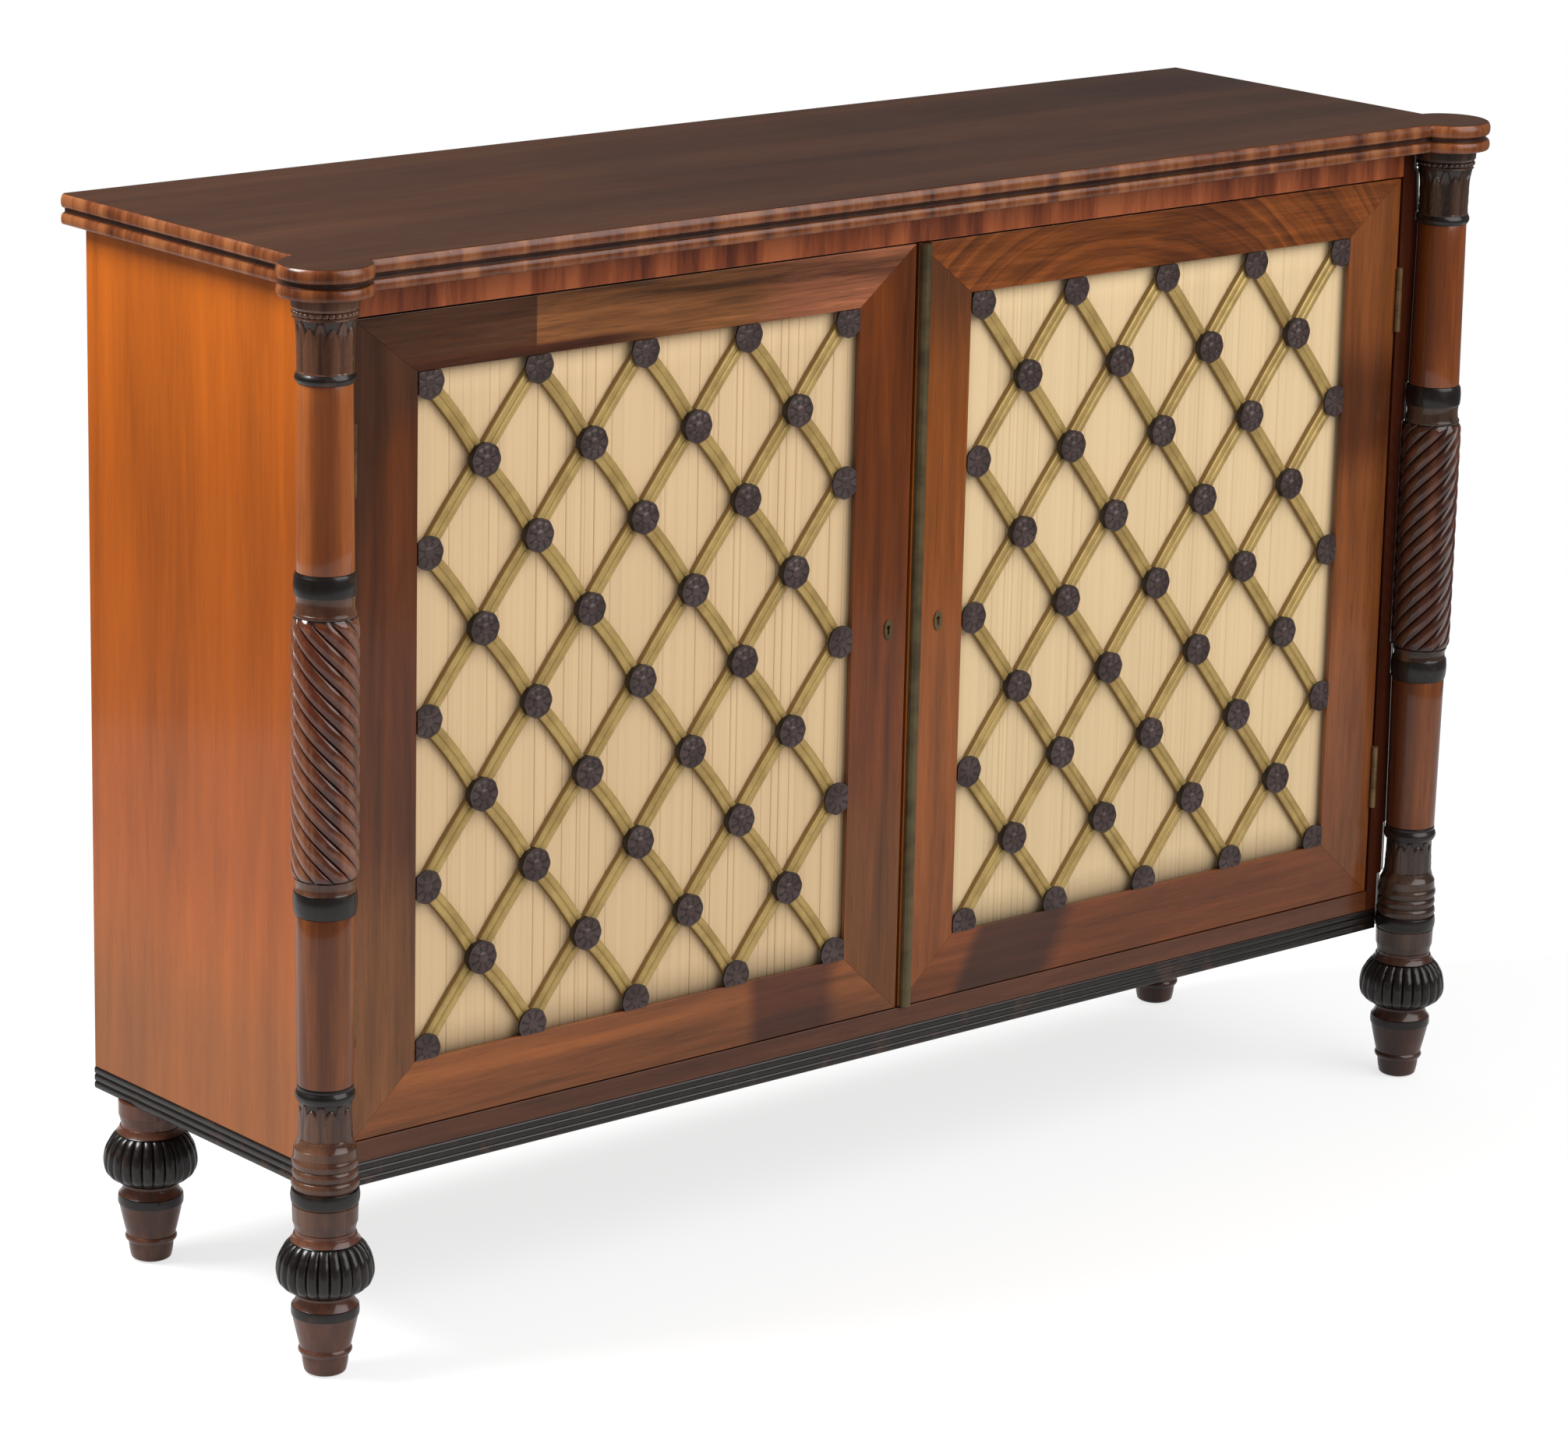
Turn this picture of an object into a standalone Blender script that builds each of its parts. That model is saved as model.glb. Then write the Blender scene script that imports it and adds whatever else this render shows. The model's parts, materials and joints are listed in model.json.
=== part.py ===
"""A side cabinet on four turned feet: two doors of brass trellis over pleated silk, between corner columns
with a spirally reeded middle, under a top with a double-reeded edge and round corners over the columns.

Metres, +Z up. X runs along the front, Y from the front to the back. The origin is on the floor, under the
centre of the cabinet.
"""

import math

import bmesh
import bpy
from mathutils import Matrix, Vector

# Driving dimensions, in metres

CLEARANCE = 0.0003  # between two pieces that touch

CASE_WIDTH = 1.2132  # over the side panels
CASE_DEPTH = 0.325  # from the doors' faces to the back panel
CASE_LIFT = 0.142  # floor to the underside of the base moulding

COLUMN_OUT_SIDE = 0.0087  # column axis outside the side panel's face
COLUMN_OUT_FRONT = 0.017  # column axis in front of the doors' faces
LOWER_SHAFT_LENGTH = 0.140
REEDED_LENGTH = 0.2105
UPPER_SHAFT_LENGTH = 0.1478
LOWER_SHAFT_FOOT_RADIUS = 0.0224
LOWER_SHAFT_HEAD_RADIUS = 0.0238
UPPER_SHAFT_FOOT_RADIUS = 0.0229
UPPER_SHAFT_HEAD_RADIUS = 0.0216
REED_RADIUS = 0.027  # over the crests of the reeds
REED_DEPTH = 0.0028
REED_COUNT = 13
REED_LEAD = 0.190  # rise of a reed in one full turn
REED_END = 0.006  # height of the rounded end of the reeds
COLUMN_HEAD_RADIUS = 0.029  # the block under the top, the widest part of the column
SCOOP_GAP = 0.0005  # between the column and the hollow it stands in

BULB_RADIUS = 0.0395
BULB_NECK_RADIUS = 0.0225
BULB_HEIGHT = 0.050
GADROON_COUNT = 24
GADROON_DEPTH = 0.0022
TOE_RADIUS = 0.012
BACK_FOOT_FROM_SIDE = 0.0231
BACK_FOOT_FROM_BACK = 0.0472

TOP_THICKNESS = 0.025
TOP_SIDE_OVERHANG = 0.0157
TOP_FRONT_OVERHANG = 0.031
TOP_BACK_OVERHANG = 0.012
TURRET_RADIUS = 0.0385
TOP_REED_DEPTH = 0.0022
TOP_ARRIS = 0.0035  # how far the reed rolls back at the top surface

BASE_MOULDING_HEIGHT = 0.0192
BASE_MOULDING_DEPTH = 0.030
BASE_MOULDING_PROUD = 0.001
BASE_REED_COUNT = 3
BASE_REED_DEPTH = 0.0016
SIDE_THICKNESS = 0.018
POST_WIDTH = 0.0266
POST_DEPTH = 0.028
BACK_THICKNESS = 0.010
BACK_RAIL_DEPTH = 0.060
BOTTOM_THICKNESS = 0.0182
FRIEZE_HEIGHT = 0.0257
FRIEZE_DEPTH = 0.040
SHELF_HEIGHT = 0.505
SHELF_THICKNESS = 0.018
SHELF_SETBACK = 0.058  # from the doors' faces
HOUSING_DEPTH = 0.006  # groove in the side panel that carries the shelf

DOOR_THICKNESS = 0.022
DOOR_GAP = 0.0013  # above and below a door
MEETING_GAP = 0.003
HINGE_GAP = 0.003
HINGE_STILE_WIDTH = 0.062
MEETING_STILE_WIDTH = 0.0605
TOP_RAIL_WIDTH = 0.0477
BOTTOM_RAIL_WIDTH = 0.055
LIP_THICKNESS = 0.0035  # the frame's edge in front of the rebate
REBATE_WIDTH = 0.009

LATTICE_CELLS = 4  # diamonds across and up a door
LATTICE_SIDE_MARGIN = 0.0113  # centres of the outer rosettes inside the frame's edge
LATTICE_HEAD_MARGIN = 0.0103
LATTICE_FOOT_MARGIN = 0.0068
STRIP_WIDTH = 0.0115
STRIP_THICKNESS = 0.0034
ROSETTE_RADIUS = 0.0155
ROSETTE_FACE_RADIUS = 0.0115
ROSETTE_THICKNESS = 0.0038
ROSETTE_SIDES = 8
SILK_PLEATS = 34
SILK_FOLD = 0.0016
SILK_THICKNESS = 0.0012
ASTRAGAL_WIDTH = 0.011
ASTRAGAL_DEPTH = 0.006
ASTRAGAL_FROM_EDGE = 0.0015

HINGE_LENGTH = 0.058
HINGE_FROM_END = 0.110  # from the end of the door to the middle of a hinge
HINGE_LEAF_WIDTH = 0.018
KNUCKLE_RADIUS = 0.0028
PIN_RADIUS = 0.0012
PIN_BORE_RADIUS = 0.0015

LOCK_HEIGHT = 0.520
LOCK_CASE_WIDTH = 0.040
LOCK_CASE_HEIGHT = 0.060
LOCK_CASE_DEPTH = 0.010
LOCK_BOLT_LENGTH = 0.026
LOCK_BOLT_HEIGHT = 0.015
LOCK_BOLT_THICKNESS = 0.005
LOCK_BOLT_THROW = 0.007
KEYHOLE_RIGHT = 0.0344  # from the middle of the cabinet
KEYHOLE_LEFT = 0.0217
KEYHOLE_RADIUS = 0.0019
KEYHOLE_SLOT_WIDTH = 0.0018
KEYHOLE_SLOT_LENGTH = 0.006
KEYHOLE_DEPTH = 0.008  # of the blind keyhole in the left door
ESCUTCHEON_WIDTH = 0.0095
ESCUTCHEON_HEIGHT = 0.0175
ESCUTCHEON_THICKNESS = 0.0008

BOLT_ROD_RADIUS = 0.0024
BOLT_BORE_RADIUS = 0.0029
BOLT_THROW = 0.009
BOLT_FROM_EDGE = 0.0115  # from the door's meeting edge to the rod
BOLT_PLATE_WIDTH = 0.016
BOLT_PLATE_LENGTH = 0.066
BOLT_PLATE_THICKNESS = 0.0012
BOLT_PLATE_FROM_END = 0.018
BOLT_GUIDE_HEIGHT = 0.009
BOLT_GUIDE_DEPTH = 0.0075
BOLT_KNOB_RADIUS = 0.002
BOLT_KNOB_LENGTH = 0.007

TURN_STEPS = 16
SMALL_STEPS = 8
SCOOP_STEPS = 32
TURRET_STEPS = 14
REED_RINGS = 13
REED_POINTS = (0.0, 0.27, 0.73)  # shares of a reed's width: its valley and two points of its crown
GADROON_POINTS = 2  # its crown and its valley
FOOT_SIDES = GADROON_COUNT * GADROON_POINTS // 4
MERGE = 0.0001
OVERLAP = 0.0002  # how far a piece that is joined to another runs into it
THROUGH = 0.002  # how far a cutter runs past what it cuts


# Turned mouldings, each a list of (radius, height above its foot), from the bottom up


def taper(low, high, height):
    return [(low, 0.0), (high, height)]


def swell(low, high, height, bulge, steps=4):
    """A bead where bulge is positive, a cove where it is negative."""
    points = []
    for i in range(steps + 1):
        share = i / steps
        radius = low + (high - low) * share + bulge * math.sin(math.pi * share)
        points.append((radius, height * share))
    return points


def stacked(*mouldings):
    """The mouldings on top of each other as one profile that starts and ends on the axis."""
    profile = [(0.0, 0.0)]
    foot = 0.0
    for moulding in mouldings:
        for radius, height in moulding:
            point = (radius, foot + height)
            if math.dist(point, profile[-1]) > MERGE:
                profile.append(point)
        foot += moulding[-1][1]
    profile.append((0.0, foot))
    return profile


def height_of(profile):
    return profile[-1][1]


PEG_PROFILE = stacked(
    swell(TOE_RADIUS, 0.0177, 0.006, 0.0018, 2),
    taper(0.0177, 0.0190, 0.0115),
    swell(0.0203, 0.0203, 0.006, 0.0014, 2),
    taper(0.0205, 0.0268, 0.0275),
    taper(0.0273, 0.0270, 0.008),
    taper(0.0270, BULB_NECK_RADIUS, 0.010),
)
BULB_POINTS = ((0.0335, 0.10), (0.0393, 0.26), (BULB_RADIUS, 0.45), (0.0335, 0.80))  # radius, share of height
NECK_HEIGHT = 0.003  # plain neck above the bulb
FOOT_HEIGHT = height_of(PEG_PROFILE) + BULB_HEIGHT + NECK_HEIGHT

BASE_RINGS = (
    taper(0.0244, 0.0262, 0.007),
    taper(0.0262, 0.0266, 0.016),
    swell(0.0272, 0.0272, 0.012, 0.0007, 2),
    swell(0.0262, 0.0262, 0.009, 0.0012, 2),
    swell(0.0255, 0.0255, 0.009, 0.0012, 2),
    swell(0.0260, 0.0260, 0.009, 0.0010, 2),
    taper(0.0260, 0.0254, 0.007),
    taper(0.0254, 0.0224, 0.007),
)
BASE_STEM = (
    taper(0.0224, 0.0214, 0.032),
    swell(0.0220, 0.0220, 0.010, 0.0022, 3),
    taper(0.0228, 0.0225, 0.003),
)
BASE_PROFILE = stacked(*BASE_RINGS, *BASE_STEM)
LOWER_RING_PROFILE = stacked(
    taper(0.0245, 0.0247, 0.0025),
    swell(0.0252, 0.0252, 0.0135, 0.0012, 2),
    swell(0.0240, 0.0245, 0.0135, -0.0033, 3),
)
UPPER_RING_PROFILE = stacked(
    swell(0.0245, 0.0235, 0.020, -0.0050, 4),
    swell(0.0248, 0.0248, 0.0125, 0.0012, 2),
    taper(0.0238, 0.0231, 0.002),
)
CAPITAL_PROFILE = stacked(
    swell(0.0225, 0.0225, 0.008, 0.0015, 2),
    taper(0.0218, 0.0221, 0.024),
    taper(0.0221, 0.0240, 0.017),
    swell(0.0240, 0.0244, 0.005, 0.0012, 2),
    swell(0.0258, 0.0258, 0.005, 0.0014, 2),
    taper(COLUMN_HEAD_RADIUS - 0.0008, COLUMN_HEAD_RADIUS, 0.0015),
    taper(COLUMN_HEAD_RADIUS, COLUMN_HEAD_RADIUS, 0.0068),
)

# Heights of the column's parts, each a clearance above the one below

BASE_FOOT = FOOT_HEIGHT + CLEARANCE
BASE_WAIST = BASE_FOOT + height_of(stacked(*BASE_RINGS))
LOWER_SHAFT_FOOT = BASE_FOOT + height_of(BASE_PROFILE) + CLEARANCE
LOWER_RING_FOOT = LOWER_SHAFT_FOOT + LOWER_SHAFT_LENGTH + CLEARANCE
REEDED_FOOT = LOWER_RING_FOOT + height_of(LOWER_RING_PROFILE) + CLEARANCE
UPPER_RING_FOOT = REEDED_FOOT + REEDED_LENGTH + CLEARANCE
UPPER_SHAFT_FOOT = UPPER_RING_FOOT + height_of(UPPER_RING_PROFILE) + CLEARANCE
CAPITAL_FOOT = UPPER_SHAFT_FOOT + UPPER_SHAFT_LENGTH + CLEARANCE
TOP_FOOT = CAPITAL_FOOT + height_of(CAPITAL_PROFILE) + CLEARANCE
TOTAL_HEIGHT = TOP_FOOT + TOP_THICKNESS

# Places that follow

CASE_HALF = CASE_WIDTH / 2
SIDE_INNER = CASE_HALF - SIDE_THICKNESS
POST_INNER = CASE_HALF - POST_WIDTH
COLUMN_X = CASE_HALF + COLUMN_OUT_SIDE
FRONT = (COLUMN_OUT_FRONT + TURRET_RADIUS - CASE_DEPTH - TOP_BACK_OVERHANG) / 2
COLUMN_Y = FRONT - COLUMN_OUT_FRONT
CASE_BACK = FRONT + CASE_DEPTH
BACK_PANEL_FRONT = CASE_BACK - BACK_THICKNESS
DOOR_BACK = FRONT + DOOR_THICKNESS
BACK_FOOT_X = CASE_HALF - BACK_FOOT_FROM_SIDE
BACK_FOOT_Y = CASE_BACK - BACK_FOOT_FROM_BACK

MOULDING_TOP = CASE_LIFT + BASE_MOULDING_HEIGHT
CASE_FOOT = MOULDING_TOP + CLEARANCE
CASE_HEAD = TOP_FOOT - CLEARANCE
BOTTOM_TOP = CASE_FOOT + BOTTOM_THICKNESS
FRIEZE_FOOT = CASE_HEAD - FRIEZE_HEIGHT
DOOR_FOOT = BOTTOM_TOP + DOOR_GAP
DOOR_HEAD = FRIEZE_FOOT - DOOR_GAP
DOOR_HEIGHT = DOOR_HEAD - DOOR_FOOT
DOOR_INNER = MEETING_GAP / 2
DOOR_OUTER = POST_INNER - HINGE_GAP
DOOR_WIDTH = DOOR_OUTER - DOOR_INNER
OPENING_INNER = DOOR_INNER + MEETING_STILE_WIDTH
OPENING_OUTER = DOOR_OUTER - HINGE_STILE_WIDTH
OPENING_FOOT = DOOR_FOOT + BOTTOM_RAIL_WIDTH
OPENING_HEAD = DOOR_HEAD - TOP_RAIL_WIDTH
REBATE_FRONT = FRONT + LIP_THICKNESS
ROSETTE_FRONT = REBATE_FRONT + CLEARANCE
ROSETTE_BACK = ROSETTE_FRONT + ROSETTE_THICKNESS
STRIP_BACK = ROSETTE_BACK - OVERLAP
STRIP_FRONT = STRIP_BACK - STRIP_THICKNESS
SILK_FRONT = ROSETTE_BACK + CLEARANCE
PIN_X = DOOR_OUTER + HINGE_GAP / 2
PIN_Y = FRONT - math.sqrt((KNUCKLE_RADIUS + CLEARANCE) ** 2 - (HINGE_GAP / 2) ** 2)
LEAF_THICKNESS = (HINGE_GAP - 3 * CLEARANCE) / 2
LOCK_CASE_FRONT = DOOR_BACK - LOCK_CASE_DEPTH
LOCK_BOLT_Y = LOCK_CASE_FRONT + LOCK_CASE_DEPTH / 2
BOLT_PLATE_FRONT = DOOR_BACK + CLEARANCE
BOLT_ROD_Y = BOLT_PLATE_FRONT + BOLT_PLATE_THICKNESS + BOLT_GUIDE_DEPTH / 2

FINISHES = {}


# Scene helpers


def clear_scene():
    for obj in list(bpy.data.objects):
        bpy.data.objects.remove(obj, do_unlink=True)
    for name in ("side_cabinet", "cutters"):
        collection = bpy.data.collections.new(name)
        bpy.context.scene.collection.children.link(collection)
    cutters = bpy.data.collections["cutters"]
    cutters.hide_render = True


def finish(name, color, roughness, metallic=0.0):
    material = bpy.data.materials.new(name)
    material.use_nodes = True
    shader = material.node_tree.nodes["Principled BSDF"]
    shader.inputs["Base Color"].default_value = (*color, 1.0)
    shader.inputs["Roughness"].default_value = roughness
    shader.inputs["Metallic"].default_value = metallic
    material.diffuse_color = (*color, 1.0)
    FINISHES[name] = material


def make_finishes():
    finish("case_mahogany", (0.28, 0.095, 0.035), 0.35)
    finish("door_veneer", (0.17, 0.065, 0.032), 0.32)
    finish("top_rosewood", (0.085, 0.038, 0.024), 0.30)
    finish("column_rosewood", (0.12, 0.045, 0.025), 0.34)
    finish("ebonised", (0.022, 0.018, 0.015), 0.38)
    finish("foot_wood", (0.055, 0.028, 0.020), 0.40)
    finish("inside_wood", (0.36, 0.24, 0.13), 0.65)
    finish("brass", (0.42, 0.32, 0.16), 0.36, 1.0)
    finish("silk", (0.62, 0.53, 0.38), 0.60)


def add_object(name, mesh, location, collection="side_cabinet"):
    obj = bpy.data.objects.new(name, mesh)
    obj.location = location
    bpy.data.collections[collection].objects.link(obj)
    return obj


def add_mesh(name, material, bm, location=(0, 0, 0)):
    """The bmesh as an object; without a material it is a cutter."""
    bmesh.ops.recalc_face_normals(bm, faces=bm.faces)
    mesh = bpy.data.meshes.new(name)
    bm.to_mesh(mesh)
    bm.free()
    if material is None:
        obj = add_object(name, mesh, location, "cutters")
        hide(obj)
        return obj
    mesh.materials.append(FINISHES[material])
    mesh.shade_smooth()
    mesh.set_sharp_from_angle(angle=math.radians(35))
    return add_object(name, mesh, location)


def hide(obj):
    obj.hide_render = True
    obj.display_type = "WIRE"


def carried(obj, parent):
    """Hangs obj on parent where it stands."""
    obj.parent = parent
    obj.location = obj.location - parent.location
    return obj


def empty(name, location):
    return add_object(name, None, location)


def box(name, material, low, high):
    low, high = Vector(low), Vector(high)
    bm = bmesh.new()
    bmesh.ops.create_cube(bm, size=1.0, matrix=Matrix.Diagonal((*(high - low), 1.0)))
    return add_mesh(name, material, bm, (low + high) / 2)


def cylinder(name, material, radius, low, high, sides, axis="Z"):
    """A cylinder from one end's centre to the other's, which differ along the axis alone."""
    low, high = Vector(low), Vector(high)
    turn = {"Z": Matrix(), "Y": Matrix.Rotation(math.pi / 2, 4, "X")}[axis]
    bm = bmesh.new()
    bmesh.ops.create_cone(
        bm,
        cap_ends=True,
        segments=sides,
        radius1=radius,
        radius2=radius,
        depth=(high - low).length,
        matrix=turn,
    )
    return add_mesh(name, material, bm, (low + high) / 2)


def prism_mesh(outline, low, high, plane="XY"):
    """The outline's points in its plane, extruded along the third axis from low to high."""
    along = {"XY": Vector((0, 0, 1)), "YZ": Vector((1, 0, 0))}[plane]
    bm = bmesh.new()
    points = [(a, b, 0) if plane == "XY" else (0, a, b) for a, b in outline]
    face = bm.faces.new([bm.verts.new(Vector(point) + along * low) for point in points])
    grown = bmesh.ops.extrude_face_region(bm, geom=[face])["geom"]
    bmesh.ops.translate(
        bm,
        verts=[part for part in grown if isinstance(part, bmesh.types.BMVert)],
        vec=along * (high - low),
    )
    return bm


def saw(bm, point, away):
    """Cuts the mesh at a plane, drops the side that away points to and closes the cut."""
    geometry = bm.verts[:] + bm.edges[:] + bm.faces[:]
    bmesh.ops.bisect_plane(
        bm, geom=geometry, dist=1e-6, plane_co=point, plane_no=away, clear_outer=True
    )
    bmesh.ops.holes_fill(bm, edges=[edge for edge in bm.edges if edge.is_boundary])


def ring_of(radii, height, turn=0.0, shares=(0.0,)):
    """Points round Z at the radii, whose angles are the shares of as many equal parts of a turn."""
    parts = len(radii) // len(shares)
    points = []
    for i, radius in enumerate(radii):
        around = 2 * math.pi * (turn + (i // len(shares) + shares[i % len(shares)]) / parts)
        points.append((radius * math.cos(around), radius * math.sin(around), height))
    return points


def bridge(bm, lower, upper):
    """Faces between two loops, where one may have a whole number of times as many points."""
    few, many = sorted((lower, upper), key=len)
    share = len(many) // len(few)
    for i, near in enumerate(few):
        far = few[(i + 1) % len(few)]
        fan = [many[(i * share + j) % len(many)] for j in range(share + 1)]
        if share == 1:
            bm.faces.new((near, far, fan[1], fan[0]))
            continue
        half = share // 2
        bm.faces.new((near, far, fan[half]))
        for j in range(share):
            bm.faces.new((near if j < half else far, fan[j], fan[j + 1]))


def loft(name, material, rings, location=(0, 0, 0)):
    """A closed body through rings of points, with its two ends filled in."""
    bm = bmesh.new()
    loops = [[bm.verts.new(point) for point in ring] for ring in rings]
    for lower, upper in zip(loops, loops[1:]):
        bridge(bm, lower, upper)
    bm.faces.new(loops[0])
    bm.faces.new(loops[-1])
    return add_mesh(name, material, bm, location)


def turned(name, material, profile, location, steps=TURN_STEPS):
    """A profile of (radius, height) points, listed from the bottom up, turned about Z."""
    mesh = bpy.data.meshes.new(name)
    points = [(radius, 0.0, height) for radius, height in reversed(profile)]
    mesh.from_pydata(points, [(i, i + 1) for i in range(len(points) - 1)], [])
    if material is None:
        obj = add_object(name, mesh, location, "cutters")
        hide(obj)
    else:
        mesh.materials.append(FINISHES[material])
        obj = add_object(name, mesh, location)
    screw = obj.modifiers.new("turned", "SCREW")
    screw.axis = "Z"
    screw.steps = steps
    screw.render_steps = steps
    screw.use_merge_vertices = True
    screw.merge_threshold = MERGE
    screw.use_smooth_shade = True
    return obj


def combine(obj, other, operation):
    modifier = obj.modifiers.new(other.name, "BOOLEAN")
    modifier.operation = operation
    modifier.object = other
    return obj


def cut(obj, cutter):
    return combine(obj, cutter, "DIFFERENCE")


def join(obj, other):
    return combine(obj, other, "UNION")


def grown(low, high, by):
    """The two corners of a box, moved apart by the same amount on every side."""
    return [value - by for value in low], [value + by for value in high]


def sides():
    return (("left", -1), ("right", 1))


# The top


def top_outline(inset):
    """The top's plan with its front and side edges drawn in by inset. The back edge stays."""
    radius = TURRET_RADIUS - inset
    front = COLUMN_OUT_FRONT - TOP_FRONT_OVERHANG + inset
    side = TOP_SIDE_OVERHANG - COLUMN_OUT_SIDE - inset
    start = math.pi + math.asin(-front / radius)
    end = 2 * math.pi + math.acos(side / radius)
    right = []
    for i in range(TURRET_STEPS + 1):
        angle = start + (end - start) * i / TURRET_STEPS
        right.append((COLUMN_X + radius * math.cos(angle), COLUMN_Y + radius * math.sin(angle)))
    right.append((CASE_HALF + TOP_SIDE_OVERHANG - inset, CASE_BACK + TOP_BACK_OVERHANG))
    return right + [(-x, y) for x, y in reversed(right)]


def make_top():
    reed = TOP_THICKNESS / 2
    levels = [
        (0.0, TOP_ARRIS),
        (reed * 0.35, TOP_REED_DEPTH * 0.3),
        (reed * 0.70, TOP_REED_DEPTH * 0.3),
        (reed, TOP_REED_DEPTH),
        (reed * 1.30, 0.0),
        (reed * 1.65, 0.0),
        (TOP_THICKNESS, TOP_ARRIS),
    ]
    rings = [[(x, y, height) for x, y in top_outline(inset)] for height, inset in levels]
    return loft("top_board", "top_rosewood", rings, (0, 0, TOP_FOOT))


# Feet and columns


def make_foot(name, x, y, collar):
    """The peg, the gadrooned bulb and the neck above it, with a collar of the given height."""
    peg_height = height_of(PEG_PROFILE)
    rings = [ring_of([radius] * FOOT_SIDES, height) for radius, height in PEG_PROFILE[1:-1]]
    for crest, share in BULB_POINTS:
        valley = crest - GADROON_DEPTH * crest / BULB_RADIUS
        rings.append(ring_of([crest, valley] * GADROON_COUNT, peg_height + BULB_HEIGHT * share))
    neck = peg_height + BULB_HEIGHT
    head = neck + NECK_HEIGHT
    for height in (neck, head):
        rings.append(ring_of([BASE_PROFILE[1][0]] * FOOT_SIDES, height))
    if collar:
        for share in (0.4, 1.0):
            rings.append(ring_of([BASE_PROFILE[3][0]] * FOOT_SIDES, head + collar * share))
    return loft(name, "foot_wood", rings, (x, y, 0))


def make_reeded(name, x, twist):
    """Reeds that climb round the column; twist is 1 or -1 for the way they turn."""
    middle = REEDED_LENGTH - 2 * REED_END
    heights = [0.0] + [REED_END + middle * i / REED_RINGS for i in range(REED_RINGS + 1)]
    heights.append(REEDED_LENGTH)
    rings = []
    for height in heights:
        at_end = height in (0.0, REEDED_LENGTH)
        crown = REED_RADIUS - (REED_DEPTH if at_end else 0.0)
        valley = REED_RADIUS - REED_DEPTH * (1.3 if at_end else 1.0)
        radii = [valley, crown, crown] * REED_COUNT
        rings.append(ring_of(radii, height, twist * height / REED_LEAD, REED_POINTS))
    return loft(name, "column_rosewood", rings, (x, COLUMN_Y, REEDED_FOOT))


def make_columns():
    for side, sign in sides():
        x = sign * COLUMN_X
        make_foot(f"foot_front_{side}", x, COLUMN_Y, 0.0)
        turned(f"column_base_{side}", "column_rosewood", BASE_PROFILE, (x, COLUMN_Y, BASE_FOOT))
        shaft = stacked(taper(LOWER_SHAFT_FOOT_RADIUS, LOWER_SHAFT_HEAD_RADIUS, LOWER_SHAFT_LENGTH))
        turned(f"lower_shaft_{side}", "column_rosewood", shaft, (x, COLUMN_Y, LOWER_SHAFT_FOOT))
        turned(f"lower_ring_{side}", "ebonised", LOWER_RING_PROFILE, (x, COLUMN_Y, LOWER_RING_FOOT))
        make_reeded(f"reeded_column_{side}", x, sign)
        turned(f"upper_ring_{side}", "ebonised", UPPER_RING_PROFILE, (x, COLUMN_Y, UPPER_RING_FOOT))
        shaft = stacked(taper(UPPER_SHAFT_FOOT_RADIUS, UPPER_SHAFT_HEAD_RADIUS, UPPER_SHAFT_LENGTH))
        turned(f"upper_shaft_{side}", "column_rosewood", shaft, (x, COLUMN_Y, UPPER_SHAFT_FOOT))
        turned(f"capital_{side}", "column_rosewood", CAPITAL_PROFILE, (x, COLUMN_Y, CAPITAL_FOOT))
        collar = CASE_LIFT - CLEARANCE - FOOT_HEIGHT
        make_foot(f"foot_back_{side}", sign * BACK_FOOT_X, BACK_FOOT_Y, collar)


# The case


def widest(profile):
    return max(radius for radius, _ in profile)


def make_scoops():
    """Round cutters on the column axes, which hollow the case's corners to fit the columns."""
    lengths = (
        (CASE_LIFT - THROUGH, widest(BASE_PROFILE)),
        (BASE_WAIST, widest(stacked(*BASE_STEM))),
        (LOWER_RING_FOOT - SCOOP_GAP, REED_RADIUS),
        (UPPER_SHAFT_FOOT + SCOOP_GAP, UPPER_SHAFT_FOOT_RADIUS),
        (CAPITAL_FOOT - SCOOP_GAP, COLUMN_HEAD_RADIUS),
    )
    heads = [foot for foot, _ in lengths[1:]] + [CASE_HEAD + THROUGH]
    profile = [(0.0, lengths[0][0])]
    for (foot, radius), head in zip(lengths, heads):
        hollow = (radius + SCOOP_GAP) / math.cos(math.pi / SCOOP_STEPS)
        profile += [(hollow, foot), (hollow, head)]
    profile.append((0.0, heads[-1]))
    scoops = {}
    for side, sign in sides():
        place = (sign * COLUMN_X, COLUMN_Y, 0)
        scoops[side] = turned(f"scoop_{side}", None, profile, place, SCOOP_STEPS)
    return scoops


def reeded_section():
    """The base moulding's section as (distance in from its face, height), its reeds in front."""
    points = [(BASE_MOULDING_DEPTH, 0.0)]
    pitch = BASE_MOULDING_HEIGHT / BASE_REED_COUNT
    for reed in range(BASE_REED_COUNT):
        for share, depth in ((0.0, 1.0), (0.25, 0.2), (0.75, 0.2)):
            points.append((BASE_REED_DEPTH * depth, pitch * (reed + share)))
    points += [(BASE_REED_DEPTH, BASE_MOULDING_HEIGHT), (BASE_MOULDING_DEPTH, BASE_MOULDING_HEIGHT)]
    return points


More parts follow.
